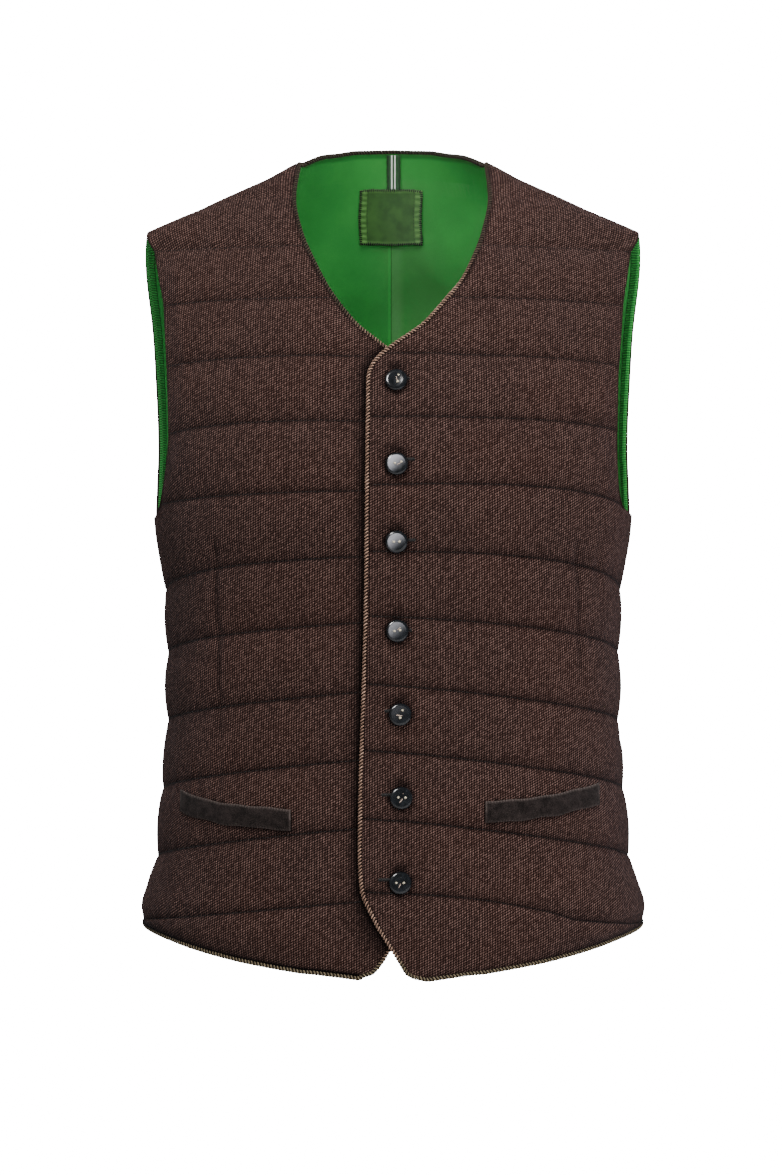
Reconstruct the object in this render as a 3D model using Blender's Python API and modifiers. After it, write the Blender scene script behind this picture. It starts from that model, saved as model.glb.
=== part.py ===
"""A worn quilted vest: two overlapping fronts, a back, their lining, bound edges, welt pockets and buttons.

Metres, +Z up, the wearer faces -Y. The origin lies midway between the shoulders, at the height where the
inside of the shoulders rests on the wearer. "Left" and "right" are the wearer's, so left is +X.
"""

import math
from bisect import bisect_right

import bpy
from mathutils import Matrix, Vector
from mathutils.bvhtree import BVHTree

# ---------------------------------------------------------------- driving sizes
SEAM_WALL = 0.0022          # cloth and padding where a quilting line is stitched
PUFF = 0.0028               # how far a channel's crown stands above its lines
PUFF_SHAPE = 0.75           # exponent of a channel's sine profile, below 1 for a fuller channel
EDGE_PUFF = 0.30            # share of the puff left at a free edge or seam
EDGE_FADE = 0.018           # width over which the puff dies away
CHANNEL = 0.056             # one quilted channel, measured along the cloth
PIECE_GAP = 0.0003          # clearance between neighbouring pieces
CORD_GAP = 0.0008           # the same, where a cord follows a curved edge
SEAM_HALF_GAP = 0.0002      # each panel stops this far from a seam's plane

LINING_WALL = 0.0010

CORD_RADIUS = 0.0017        # twisted edging on the fronts, neck and hem
CORD_END_GAP = 0.0012       # each cord stops this far short of a seam
BINDING_RADIUS = 0.0014     # rolled binding round the armholes

OVERLAP_LIFT = 0.0031       # the fronts part by twice this where they lap
OVERLAP_FLAT = 0.030        # half width of the lap that carries the whole lift
OVERLAP_END = 0.060         # where a front is back on the body form
OVERLAP_PUFF = 0.55         # share of the puff inside the lap

WELT_HEIGHT = 0.0152
WELT_WALL = 0.0016
WELT_GAP = 0.0010
WELT_STEPS_ALONG = 20
WELT_STEPS_DOWN = 3
LABEL_WIDTH = 0.054
LABEL_TOP = 0.0200
LABEL_BOTTOM = -0.0260
TAPE_WIDTH = 0.0072
TAPE_TOP = 0.0450
FLAT_TRIM_WALL = 0.0008
TRIM_GAP = 0.0005

BUTTON_RADIUS = 0.0088
BUTTON_HEIGHT = 0.0036
BUTTON_HOLE_RADIUS = 0.0008
BUTTON_HOLE_OFFSET = 0.0019
BUTTON_HOLE_SIDES = 6
BUTTON_STEPS = 16
BUTTON_SEAT = 0.8           # share of the radius where the underside meets the cloth
BUTTON_RIM_PROBES = 12
# shares of the radius and of the height, from the middle of the face over the rim to the middle of the underside
BUTTON_PROFILE = (
    (0.0, 0.62),
    (0.50, 0.68),
    (0.72, 0.92),
    (0.86, 1.0),
    (1.0, 0.62),
    (0.94, 0.15),
    (0.70, 0.0),
    (0.0, 0.0),
)

# ---------------------------------------------------------------- the body form
SQUARENESS = 2.4            # exponent of the superellipse that a level section follows
CHEST_Z = -0.250            # above this level the chest and back run in to the shoulder ridge
RIDGE_Y = 0.018             # the shoulder seam lies in this upright plane
RIDGE_Z = 0.0300            # ridge height at RIDGE_X
RIDGE_X = 0.080
RIDGE_SLOPE = 0.4457        # fall of the shoulder, height over width
RIDGE_ROUND = 0.020         # rounds the ridge line where it passes the neck
NECK_RISE = 0.050           # how far the nape stands above the ridge line, on the back only
NECK_POINT_X = 0.0777
TIP_X = 0.1965
CHEST_CURVE = 1.42          # exponent of the front's rise to the ridge
BACK_CURVE = 2.05           # exponent of the back's rise to the ridge
RIDGE_SPREAD = 1.6          # spaces the rows evenly where they turn over the ridge
SLOPE_STEP = 0.0004         # distance over which the form's slope is taken
ON_PLANE = 1e-6             # a point this close to a seam's plane lies on it

# height, half width, depth in front of and behind the side seams, all to the cloth's inner face
BODY = (
    ("hem", -0.640, 0.2025, 0.138, 0.130),
    ("flare", -0.580, 0.2015, 0.137, 0.128),
    ("flare top", -0.556, 0.1955, 0.134, 0.125),
    ("hip", -0.530, 0.1895, 0.131, 0.121),
    ("high hip", -0.490, 0.1865, 0.127, 0.112),
    ("waist", -0.425, 0.1815, 0.122, 0.101),
    ("ribs", -0.350, 0.1815, 0.122, 0.101),
    ("low chest", -0.300, 0.1855, 0.126, 0.107),
    ("chest", -0.255, 0.1900, 0.129, 0.113),
    ("high chest", -0.200, 0.1965, 0.131, 0.118),
    ("arm", -0.150, 0.2030, 0.132, 0.121),
    ("shoulder", -0.100, 0.2085, 0.132, 0.121),
    ("shoulder tip", -0.050, 0.2130, 0.132, 0.120),
    ("top", 0.060, 0.2150, 0.132, 0.118),
)

# ---------------------------------------------------------------- rows
# Rows are numbered down the garment: 0 is the shoulder seam, 1 to 11 the quilting lines, 12 the hem.
# height at the front edge, height at the armhole or side seam, and how the droop is spread (0 even, below late)
FRONT_ROWS = {
    1: (-0.0395, -0.0405, 0.0),
    2: (-0.0830, -0.0865, -1.2),
    3: (-0.1300, -0.1360, -1.4),
    4: (-0.1785, -0.1880, -1.6),
    5: (-0.2325, -0.2475, -1.8),
    6: (-0.2840, -0.3165, -1.0),
    7: (-0.3345, -0.3660, -0.4),
    8: (-0.3885, -0.4215, 0.0),
    9: (-0.4415, -0.4770, 0.0),
    10: (-0.4950, -0.5363, 0.0),
    11: (-0.5530, -0.5812, 0.1),
    12: (-0.6215, -0.5868, 0.6),
}
# height at the centre back, then the same two columns
BACK_ROWS = {
    1: (-0.0500, -0.0480, 0.0),
    2: (-0.1030, -0.1000, 0.0),
    3: (-0.1570, -0.1520, 0.0),
    4: (-0.2110, -0.2040, 0.0),
    5: (-0.2640, -0.2475, -0.4),
    6: (-0.3210, -0.3165, 0.0),
    7: (-0.3730, -0.3660, 0.0),
    8: (-0.4285, -0.4215, 0.0),
    9: (-0.4840, -0.4770, 0.0),
    10: (-0.5400, -0.5363, 0.0),
    11: (-0.5900, -0.5812, 0.0),
    12: (-0.6000, -0.5868, 0.0),
}
HEM_ROW = 12
ARMPIT_ROW = 5.15
ROW_STEPS = 4               # rows in one channel of the outer face
# The plain inner face and the lining need fewer rows; these keep the neckline, armhole and corner curves.
FRONT_INNER_ROWS = (0, 0.5, 0.75, 1, 1.5, 2, 2.5, 3, 3.5, 4, 4.5, 4.75, 5, 6, 7, 8, 9, 10, 11, 11.5, 11.75, 12)
BACK_INNER_ROWS = (0, 0.5, 1, 2, 3, 4, 4.5, 4.75, 5, 6, 7, 8, 9, 10, 11, 11.75, 12)
LINING_LAST_ROW = 11.75
FRONT_COLUMNS = 11
BACK_COLUMNS = 20
HALF_NECK_COLUMNS = 4       # columns of the back's half that end on its neckline
MOST_CROWDING = 1.7         # how far columns may crowd towards the armhole
NECKLINE_PULL = 2           # exponent: how quickly the neckline's shift dies away from it
SHARP_ANGLE = 50            # degrees between faces that are not shaded as one

# neckline, front edge and rounded hem corner of a front: height, distance from the centre on its own side
FRONT_EDGE = (
    (0.033, 0.0777),
    (0.003, 0.0813),
    (-0.0255, 0.0755),
    (-0.0651, 0.0567),
    (-0.1037, 0.0267),
    (-0.1293, -0.0054),
    (-0.1391, -0.0144),
    (-0.1535, -0.0166),
    (-0.3244, -0.0203),
    (-0.5217, -0.0250),
    (-0.5525, -0.0235),
    (-0.5743, -0.0145),
    (-0.6015, 0.0066),
    (-0.6149, 0.0147),
    (-0.6190, 0.0196),
    (-0.6215, 0.0268),
)
# armhole edges: row, turn round the body from the centre to the edge in degrees (90 is the side seam)
FRONT_ARMHOLE = (
    (1, 60.0),
    (2, 57.3),
    (3, 58.3),
    (4, 61.6),
    (4.5, 64.6),
    (4.8, 67.6),
    (5, 71.4),
    (5.05, 74.5),
    (5.10, 80.0),
    (5.13, 85.0),
    (ARMPIT_ROW, 90.0),
)
BACK_ARMHOLE = (
    (1, 68.5),
    (2, 68.0),
    (3, 70.0),
    (4, 75.0),
    (4.5, 78.0),
    (4.8, 80.5),
    (5, 83.5),
    (ARMPIT_ROW, 90.0),
)
# back neckline: distance from the centre, height
BACK_NECK = ((0.0, 0.0465), (0.030, 0.0455), (0.055, 0.0410), (NECK_POINT_X, 0.0290))

# pocket welts: distance from the centre and height of the top edge, at the inner and at the outer end
WELT_ENDS = {
    "right": ((0.0809, -0.4902), (0.1701, -0.4770)),
    "left": ((0.0730, -0.4835), (0.1649, -0.4714)),
}
# buttons: distance from the centre towards the wearer's left, height
BUTTONS = (
    (0.0026, -0.1505),
    (0.0029, -0.2171),
    (0.0028, -0.2781),
    (0.0034, -0.3489),
    (0.0056, -0.4149),
    (0.0065, -0.4807),
    (0.0057, -0.5472),
)

# name: colour, roughness
FINISHES = {
    "brown_knit": ((0.055, 0.032, 0.026, 1), 0.95),
    "green_lining": ((0.035, 0.200, 0.045, 1), 0.55),
    "brown_edging": ((0.130, 0.085, 0.055, 1), 0.90),
    "charcoal_felt": ((0.024, 0.020, 0.021, 1), 0.97),
    "green_label": ((0.028, 0.095, 0.022, 1), 0.80),
    "striped_tape": ((0.450, 0.480, 0.430, 1), 0.75),
    "dark_horn": ((0.014, 0.016, 0.022, 1), 0.22),
}


# ---------------------------------------------------------------- interpolation
def smooth(share):
    """0 to 1 with level ends."""
    share = min(1.0, max(0.0, share))
    return share * share * (3 - 2 * share)


def lerp(a, b, share):
    return a + (b - a) * share


def through(points, at):
    """The smooth curve through (place, value) pairs in rising order of place, read at one place."""
    places = [p[0] for p in points]
    at = min(max(at, places[0]), places[-1])
    i = min(max(bisect_right(places, at) - 1, 0), len(points) - 2)
    (p0, v0), (p1, v1) = points[i], points[i + 1]
    span = p1 - p0

    def slope(j):
        """Slope at point j that never overshoots its neighbours."""
        if j == 0 or j == len(points) - 1:
            k = min(j, len(points) - 2)
            return (points[k + 1][1] - points[k][1]) / (points[k + 1][0] - points[k][0])
        before = (points[j][1] - points[j - 1][1]) / (points[j][0] - points[j - 1][0])
        after = (points[j + 1][1] - points[j][1]) / (points[j + 1][0] - points[j][0])
        return 0.0 if before * after <= 0 else 2 * before * after / (before + after)

    t = (at - p0) / span
    start = (1 + 2 * t) * (1 - t) ** 2 * v0 + t * (1 - t) ** 2 * span * slope(i)
    end = t * t * (3 - 2 * t) * v1 + t * t * (t - 1) * span * slope(i + 1)
    return start + end


HALF_WIDTH = tuple((z, width) for _, z, width, _, _ in BODY)
FRONT_DEPTH = tuple((z, front) for _, z, _, front, _ in BODY)
BACK_DEPTH = tuple((z, back) for _, z, _, _, back in BODY)
FRONT_EDGE_UP = tuple(reversed(FRONT_EDGE))


# ---------------------------------------------------------------- the body form
def ridge_height(x, side):
    """Height of the shoulder ridge over x. On the back it rises into the nape between the neck points."""
    height = RIDGE_Z - RIDGE_SLOPE * (math.hypot(x, RIDGE_ROUND) - RIDGE_X)
    if side > 0 and abs(x) < NECK_POINT_X:
        height += NECK_RISE * (1 - (x / NECK_POINT_X) ** 2) ** 2
    return height


def form_y(x, z, side):
    """The form's inner face at x and z: in front of the side seams for side -1, behind them for side +1."""
    width = through(HALF_WIDTH, z)
    depth = through(FRONT_DEPTH if side < 0 else BACK_DEPTH, z)
    y = side * depth * (1 - min(1.0, abs(x) / width) ** SQUARENESS) ** (1 / SQUARENESS)
    if z <= CHEST_Z:
        return y
    rise = min(1.0, (z - CHEST_Z) / (ridge_height(x, side) - CHEST_Z))
    curve = CHEST_CURVE if side < 0 else BACK_CURVE
    return RIDGE_Y + (y - RIDGE_Y) * (1 - rise**curve) ** (1 / curve)


def turn_of(x, z):
    """Angle round the form of a point at x on the section at z."""
    share = min(1.0, abs(x) / through(HALF_WIDTH, z))
    return math.copysign(math.asin(share ** (SQUARENESS / 2)), x)


def x_of(turn, z):
    return math.copysign(abs(math.sin(turn)) ** (2 / SQUARENESS), turn) * through(HALF_WIDTH, z)


def form_normal(x, z, side):
    """The way the form faces at x and z."""
    x = math.copysign(min(abs(x), through(HALF_WIDTH, z) - 2 * SLOPE_STEP), x)
    over_x = form_y(x + SLOPE_STEP, z, side) - form_y(x - SLOPE_STEP, z, side)
    over_z = form_y(x, z + SLOPE_STEP, side) - form_y(x, z - SLOPE_STEP, side)
    return Vector((-over_x, 2 * SLOPE_STEP, -over_z)).normalized() * side


def length_of(points):
    return sum((b - a).length for a, b in zip(points, points[1:]))


def spaced(points, count, crowding=1.0):
    """count + 1 points along a line of points, evenly spaced, or crowded towards its end where crowding is over 1."""
    lengths = [0.0]
    for a, b in zip(points, points[1:]):
        lengths.append(lengths[-1] + (b - a).length)
    result, i = [], 0
    for k in range(count + 1):
        share = k / count
        target = lengths[-1] * (crowding * share - (crowding - 1) * share**2)
        while i < len(points) - 2 and lengths[i + 1] < target:
            i += 1
        share = (target - lengths[i]) / (lengths[i + 1] - lengths[i])
        result.append(points[i].lerp(points[i + 1], share))
    return result


class Panel:
    """One cloth panel as rows of points on the inner face, each row running outwards to an armhole or side seam.

    side is -1 for a front and +1 for the back. The back is built as the half on +X and mirrored by its caller.
    """

    FINE = 96               # steps of the fine line that a row's points are spaced along

    def __init__(self, side, rows, armhole, columns):
        self.side = side
        self.rows = rows
        self.armhole = armhole
        self.columns = columns
        self.first = self.top_row()
        self.second = self.line_row(1)

    def row_height(self, row, share):
        """Height of a row at a share of its turn, between the two lines it lies between."""
        low = min(int(row), HEM_ROW - 1)
        ends = []
        for line in (low, low + 1):
            inner, outer, spread = self.rows[line]
            ends.append(lerp(inner, outer, share + spread * share * (1 - share)))
        return lerp(ends[0], ends[1], row - low)

    def inner_turn(self, z):
        return turn_of(through(FRONT_EDGE_UP, z), z) if self.side < 0 else 0.0

    def outer_turn(self, row):
        return math.radians(90.0 if row >= ARMPIT_ROW else through(self.armhole, row))

    def arc(self, row, inner, outer):
        """Points on the form along a row, from one turn to another."""
        points = []
        for k in range(self.FINE + 1):
            share = k / self.FINE
            z = self.row_height(row, share)
            x = x_of(lerp(inner, outer, share), z)
            points.append(Vector((x, form_y(x, z, self.side), z)))
        return points

    def line_row(self, row):
        """A row at or below the first quilting line. Its columns crowd where the armhole cuts it short."""
        inner, outer = self.inner_turn(self.row_height(row, 0.0)), self.outer_turn(row)
        points = self.arc(row, inner, outer)
        whole = length_of(self.arc(row, inner, math.radians(90.0)))
        return spaced(points, self.columns, min(whole / length_of(points), MOST_CROWDING))

    def top_row(self):
        """The shoulder seam, and on the back the neckline before it."""
        ridge = []
        for k in range(self.FINE + 1):
            x = lerp(NECK_POINT_X, TIP_X, k / self.FINE)
            ridge.append(Vector((x, RIDGE_Y, ridge_height(x, -1))))
        if self.side < 0:
            return spaced(ridge, self.columns)
        neck = []
        for k in range(self.FINE + 1):
            x = NECK_POINT_X * math.sin(math.radians(90 * k / self.FINE))
            z = through(BACK_NECK, x)
            neck.append(Vector((x, form_y(x, z, self.side), z)))
        return spaced(neck, HALF_NECK_COLUMNS)[:-1] + spaced(ridge, self.columns - HALF_NECK_COLUMNS)

    def shoulder_row(self, row):
        """A row between the shoulder seam and the first quilting line."""
        points = []
        for k, (top, line) in enumerate(zip(self.first, self.second)):
            x = lerp(top.x, line.x, row)
            z = top.z - (top.z - line.z) * row**RIDGE_SPREAD
            if self.side < 0:
                edge = through(FRONT_EDGE_UP, z)
                x += (edge - lerp(self.first[0].x, self.second[0].x, row)) * (1 - k / self.columns) ** NECKLINE_PULL
            points.append(Vector((x, form_y(x, z, self.side), z)))
        return points

    def row(self, row):
        if row <= 0:
            return [p.copy() for p in self.first]
        return self.shoulder_row(row) if row < 1 else self.line_row(row)


# ---------------------------------------------------------------- grids
def armhole_rows(armhole):
    """The rows of an armhole's table that round its foot, below the quilting line over it."""
    return {row for row, _ in armhole if row > int(ARMPIT_ROW)}


def outer_rows(armhole):
    """Row numbers of the puffed outer face, with those that round the armhole's foot."""
    rows = {k / ROW_STEPS for k in range(HEM_ROW * ROW_STEPS + 1)}
    rows.discard(round(ARMPIT_ROW * ROW_STEPS) / ROW_STEPS)
    return sorted(rows | armhole_rows(armhole))


def mirrored(rows):
    """A half panel's rows with their mirror images in front, as whole rows from -X to +X."""
    return [[Vector((-p.x, p.y, p.z)) for p in reversed(row[1:])] + row for row in rows]


def seam_normal(a, b):
    """Square to a seam that runs from a to b, within the seam's own upright plane, pointing out or up."""
    along = (b - a).normalized()
    normal = Vector((along.z, 0.0, -along.x)).normalized()
    outwards = Vector((0.0, 0.0, 1.0)) if abs(along.x) > abs(along.z) else Vector((a.x, 0.0, 0.0))
    return normal if normal.dot(outwards) > 0 else -normal


def normals_of(grid, numbers, side):
    """Outward unit normals. On shoulder and side seams they lie in the seam's plane, so that both walls match."""
    high, wide = len(grid), len(grid[0])
    result = [[form_normal(p.x, p.z, side) for p in row] for row in grid]
    for j in range(wide):
        if abs(grid[0][j].y - RIDGE_Y) < ON_PLANE:
            near = j + 1 if j + 1 < wide and abs(grid[0][j + 1].y - RIDGE_Y) < ON_PLANE else j - 1
            result[0][j] = seam_normal(grid[0][j], grid[0][near])
    for j in (0, wide - 1):
        for i in range(high):
            if numbers[i] >= ARMPIT_ROW and abs(grid[i][j].y) < ON_PLANE:
                other = i + 1 if i + 1 < high else i - 1
                result[i][j] = seam_normal(grid[i][j], grid[other][j])
    return result


def part_seams(grid, side):
    """Moves the points on a seam's plane off it, so that the two panels stay clear of each other."""
    for row in grid:
        for p in row:
            if abs(p.y - RIDGE_Y) < ON_PLANE or abs(p.y) < ON_PLANE:
                p.y += side * SEAM_HALF_GAP


def lap_share(x):
    """1 inside the lap of the fronts, 0 clear of it; x is measured towards the front's own side."""
    return 1 - smooth((x - OVERLAP_FLAT) / (OVERLAP_END - OVERLAP_FLAT))


def puff_of(grid, numbers, lap):
    """How far each point of the outer face stands above the quilting lines."""
    high, wide = len(grid), len(grid[0])
    first_line = numbers.index(1)
    result = []
    for i in range(high):
        line = []
        for j in range(wide):
            phase = numbers[i]
            if phase < 1:
                climb = sum((grid[k][j] - grid[k + 1][j]).length for k in range(i, first_line))
                phase = 1 - climb / CHANNEL
            share = math.sin(math.pi * (phase - math.floor(phase))) ** PUFF_SHAPE
            edges = [(grid[i][j] - grid[-1][j]).length, (grid[i][j] - grid[0][j]).length]
            edges += [(grid[i][j] - grid[i][e]).length for e in (0, -1)]
            fade = lerp(EDGE_PUFF, 1.0, smooth(min(edges) / EDGE_FADE))
            if lap:
                fade *= lerp(1.0, OVERLAP_PUFF, lap_share(grid[i][j].x * lap))
            line.append(PUFF * share * fade)
        result.append(line)
    return result


def lifted(grid, normals, lap, direction):
    """A front's points, moved out (+1) or in (-1) where the two fronts lap."""
    return [
        [p + n * (OVERLAP_LIFT * direction * lap_share(p.x * lap)) for p, n in zip(row, line)]
        for row, line in zip(grid, normals)
    ]


# ---------------------------------------------------------------- objects
def finish_of(name):
    """The material of that name, made when it is first asked for."""
    material = bpy.data.materials.get(name)
    if material is None:
        colour, roughness = FINISHES[name]
        material = bpy.data.materials.new(name)
        material.use_nodes = True
        shader = material.node_tree.nodes["Principled BSDF"]
        shader.inputs["Base Color"].default_value = colour
        shader.inputs["Roughness"].default_value = roughness
        shader.inputs["Metallic"].default_value = 0.0
        material.diffuse_color = colour
    return material


def new_object(name, data, finish, collection):
    obj = bpy.data.objects.new(name, data)
    obj.data.materials.append(finish_of(finish))
    collection.objects.link(obj)
    return obj


def mesh_object(name, points, faces, finish, collection):
    mesh = bpy.data.meshes.new(name)
    mesh.from_pydata([tuple(p) for p in points], [], faces)
    mesh.shade_smooth()
    mesh.set_sharp_from_angle(angle=math.radians(SHARP_ANGLE))
    return new_object(name, mesh, finish, collection)


def halves(a, b, c, d):
    """A four-sided face as two triangles, always split from its first corner, so that layers fold alike."""
    return [(a, b, c), (a, c, d)]


def wall(name, inner, outer, inner_numbers, outer_numbers, turned, finish, collection):
    """A closed panel between an inner face and an outer face. The outer one may have rows that the inner lacks."""
    wide = len(outer[0])
    points = [p for row in outer for p in row] + [p for row in inner for p in row]
    base = len(outer) * wide
    faces = []
    for i in range(len(outer) - 1):
        for j in range(wide - 1):
            k = i * wide + j
            faces += halves(k, k + wide, k + wide + 1, k + 1)
    for i in range(len(inner) - 1):
        for j in range(wide - 1):
            k = base + i * wide + j
            faces += halves(k, k + 1, k + wide + 1, k + wide)
    for i, low in ((0, 0), (len(outer) - 1, len(inner) - 1)):
        for j in range(wide - 1):
            o, n = i * wide + j, base + low * wide + j
            faces += halves(o, o + 1, n + 1, n) if i == 0 else halves(o, n, n + 1, o + 1)
    for j in (0, wide - 1):
        for i in range(len(inner) - 1):
            start, end = outer_numbers.index(inner_numbers[i]), outer_numbers.index(inner_numbers[i + 1])
            n = base + i * wide + j
            fan = [(n, (k + 1) * wide + j, k * wide + j) for k in range(start, end)]
            fan.append((n, n + wide, end * wide + j))
            faces += fan if j == 0 else [f[::-1] for f in fan]
    if turned:
        faces = [f[::-1] for f in faces]
    return mesh_object(name, points, faces, finish, collection)


def sheet(name, grid, thickness, finish, turned, collection):
    """An open grid given its thickness by Solidify, on the side that its faces look away from."""
    wide = len(grid[0])
    faces = []
    for i in range(len(grid) - 1):
        for j in range(wide - 1):
            k = i * wide + j
            face = (k, k + wide, k + wide + 1, k + 1)
            faces.append(face[::-1] if turned else face)
    obj = mesh_object(name, [p for row in grid for p in row], faces, finish, collection)
    solidify = obj.modifiers.new("thickness", "SOLIDIFY")
    solidify.thickness = thickness
    solidify.offset = -1.0
    return obj


def tube(name, points, radius, finish, closed, collection):
    """A cord through the given points."""
    curve = bpy.data.curves.new(name, "CURVE")
    curve.dimensions = "3D"
    curve.bevel_depth = radius
    curve.bevel_resolution = 0
    curve.use_fill_caps = not closed
    spline = curve.splines.new("POLY")
    spline.points.add(len(points) - 1)
    for slot, p in zip(spline.points, points):
        slot.co = (*p, 1.0)
    spline.use_cyclic_u = closed
    return new_object(name, curve, finish, collection)


# ---------------------------------------------------------------- edges
def edge_line(points, normals, inside, radius):
    """The middle of a cord that lies along a wall's free edge: half way through the wall, just outside it."""
    first_out = (points[1] - points[0]).cross(normals[0])
    hand = -1 if first_out.dot(inside - points[0]) > 0 else 1
    line = []
    for k, (p, n) in enumerate(zip(points, normals)):
        along = points[min(k + 1, len(points) - 1)] - points[max(k - 1, 0)]
        out = along.cross(n).normalized() * hand
        line.append(p + n * (SEAM_WALL / 2) + out * (radius + CORD_GAP))
    return line


def shortened(points, by):
    """A line of points with both ends drawn in, so that it stops short of its neighbours."""
    first, last = points[0], points[-1]
    start = first + (points[1] - first).normalized() * by
    end = last + (points[-2] - last).normalized() * by
    return [start, *points[1:-1], end]


# ---------------------------------------------------------------- pieces
class BuiltPanel:
    """The grids that a panel's pieces are made from, each row running the same way on both faces."""

    def __init__(self, grid, side, armhole, inner_rows, lap=0, lift=0):
        self.numbers = outer_rows(armhole)
        self.inner_numbers = sorted({*inner_rows, *armhole_rows(armhole)})
        normals = normals_of(grid, self.numbers, side)
        part_seams(grid, side)
        puff = puff_of(grid, self.numbers, lap)
        if lap:
            grid = lifted(grid, normals, lap, lift)
        self.grid, self.normals = grid, normals
        self.outer = offset(grid, normals, [[SEAM_WALL + h for h in row] for row in puff])

    def layer(self, rows, depth):
        """The inner face at the given rows, moved further in by depth."""
        picks = [self.numbers.index(r) for r in rows]
        grid = [self.grid[i] for i in picks]
        return offset(grid, [self.normals[i] for i in picks], [[-depth] * len(row) for row in grid])

    def lining_rows(self):
        return [r for r in self.inner_numbers if r <= LINING_LAST_ROW]

    def lining_faces(self):
        """The lining's inner and outer face: a hair inside the wall, down to just above the hem."""
        rows = self.lining_rows()
        return self.layer(rows, PIECE_GAP + LINING_WALL), self.layer(rows, PIECE_GAP)

    def edge(self, column, rows=None):
        """Points and normals down one side column."""
        picks = rows if rows is not None else range(len(self.grid))
        return [self.grid[i][column] for i in picks], [self.normals[i][column] for i in picks]


def offset(grid, normals, heights):
    """A grid moved along its normals by a height for each point."""
    return [[p + n * h for p, n, h in zip(*lines)] for lines in zip(grid, normals, heights)]


def make_walls(built, name, turned, collection):
    """The quilted panel and its lining."""
    inner = built.layer(built.inner_numbers, 0.0)
    wall(name, inner, built.outer, built.inner_numbers, built.numbers, turned, "brown_knit", collection)
    rows = built.lining_rows()
    wall(f"{name}_lining", *built.lining_faces(), rows, rows, turned, "green_lining", collection)


def build_front(own, name, lift, collection):
    """One front with its lining and edging. own is +1 for the wearer's left. Returns its grids."""
    panel = Panel(-1, FRONT_ROWS, FRONT_ARMHOLE, FRONT_COLUMNS)
    grid = [[Vector((p.x * own, p.y, p.z)) for p in panel.row(r)] for r in outer_rows(FRONT_ARMHOLE)]
    built = BuiltPanel(grid, -1, FRONT_ARMHOLE, FRONT_INNER_ROWS, lap=own, lift=lift)
    make_walls(built, name, own < 0, collection)
    points, normals = built.edge(0)
    points += built.grid[-1][1:]
    normals += built.normals[-1][1:]
    line = shortened(edge_line(points, normals, built.grid[0][1], CORD_RADIUS), CORD_END_GAP)
    tube(f"{name}_edge_cord", line, CORD_RADIUS, "brown_edging", False, collection)
    return built


def build_back(collection):
    """The back with its lining, neck edging and hem edging. Returns its grids."""
    panel = Panel(1, BACK_ROWS, BACK_ARMHOLE, BACK_COLUMNS // 2)
    grid = mirrored([panel.row(r) for r in outer_rows(BACK_ARMHOLE)])
    built = BuiltPanel(grid, 1, BACK_ARMHOLE, BACK_INNER_ROWS)
    make_walls(built, "back", True, collection)
    off_ridge = [j for j, p in enumerate(built.grid[0]) if abs(p.y - RIDGE_Y) > SEAM_HALF_GAP * 2]
    neck = slice(off_ridge[0] - 1, off_ridge[-1] + 2)
    for name, row, columns, beside in (
        ("back_neck_edge_cord", 0, neck, 1),
        ("back_hem_edge_cord", -1, slice(None), -2),
    ):
        points, normals = built.grid[row][columns], built.normals[row][columns]
        line = edge_line(points, normals, built.grid[beside][columns][0], CORD_RADIUS)
        tube(name, shortened(line, CORD_END_GAP), CORD_RADIUS, "brown_edging", False, collection)
    return built


def build_binding(own, name, front, back, collection):
    """The rolled binding round one armhole, from the shoulder down the front edge and up the back edge."""
    front_rows = [i for i, r in enumerate(front.numbers) if r <= ARMPIT_ROW]
    back_rows = [i for i, r in enumerate(back.numbers) if r <= ARMPIT_ROW]
    points, normals = front.edge(-1, front_rows[1:])
    back_points, back_normals = back.edge(-1 if own > 0 else 0, back_rows[-2::-1])
    points, normals = points + back_points, normals + back_normals
    line = edge_line(points, normals, front.grid[1][-2], BINDING_RADIUS)
    tube(name, line, BINDING_RADIUS, "brown_knit", True, collection)


def face_tree(grid):
    """A tree of one face of a panel, to lay flat pieces on."""
    wide = len(grid[0])
    faces = []
    for i in range(len(grid) - 1):
        for j in range(wide - 1):
            k = i * wide + j
            faces += halves(k, k + wide, k + wide + 1, k + 1)
    return BVHTree.FromPolygons([p for row in grid for p in row], faces)


def laid_on(tree, x, z, clear):
    """The point over x and z on a panel's face, seen from the front, raised by clear; and the way it faces."""
    hit, normal, _, _ = tree.ray_cast(Vector((x, -1.0, z)), Vector((0.0, 1.0, 0.0)))
    if normal.y > 0:
        normal = -normal
    return hit + normal * clear, normal


def build_welt(own, hand, tree, collection):
    """A pocket's welt: a slanting strip that follows the front's puffed face."""
    (inner_x, inner_z), (outer_x, outer_z) = WELT_ENDS[hand]
    grid = []
    for i in range(WELT_STEPS_DOWN + 1):
        row = []
        for j in range(WELT_STEPS_ALONG + 1):
            share = j / WELT_STEPS_ALONG
            z = lerp(inner_z, outer_z, share) - WELT_HEIGHT * i / WELT_STEPS_DOWN
            row.append(laid_on(tree, lerp(inner_x, outer_x, share) * own, z, WELT_GAP + WELT_WALL)[0])
        grid.append(row)
    sheet(f"{hand}_pocket_welt", grid, WELT_WALL, "charcoal_felt", own < 0, collection)


def build_neck_trim(lining_tree, collection):
    """The bare label and the hanging tape, laid on the back lining."""
    # name, width, top, bottom, faces across, faces down, finish
    for name, width, top, bottom, across, down, finish in (
        ("neck_label", LABEL_WIDTH, LABEL_TOP, LABEL_BOTTOM, 6, 5, "green_label"),
        ("hanging_tape", TAPE_WIDTH, TAPE_TOP, LABEL_TOP + 2 * PIECE_GAP, 1, 3, "striped_tape"),
    ):
        grid = []
        for i in range(down + 1):
            z = lerp(top, bottom, i / down)
            places = [lerp(-width / 2, width / 2, j / across) for j in range(across + 1)]
            grid.append([laid_on(lining_tree, x, z, TRIM_GAP + FLAT_TRIM_WALL)[0] for x in places])
        sheet(name, grid, FLAT_TRIM_WALL, finish, False, collection)


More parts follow.
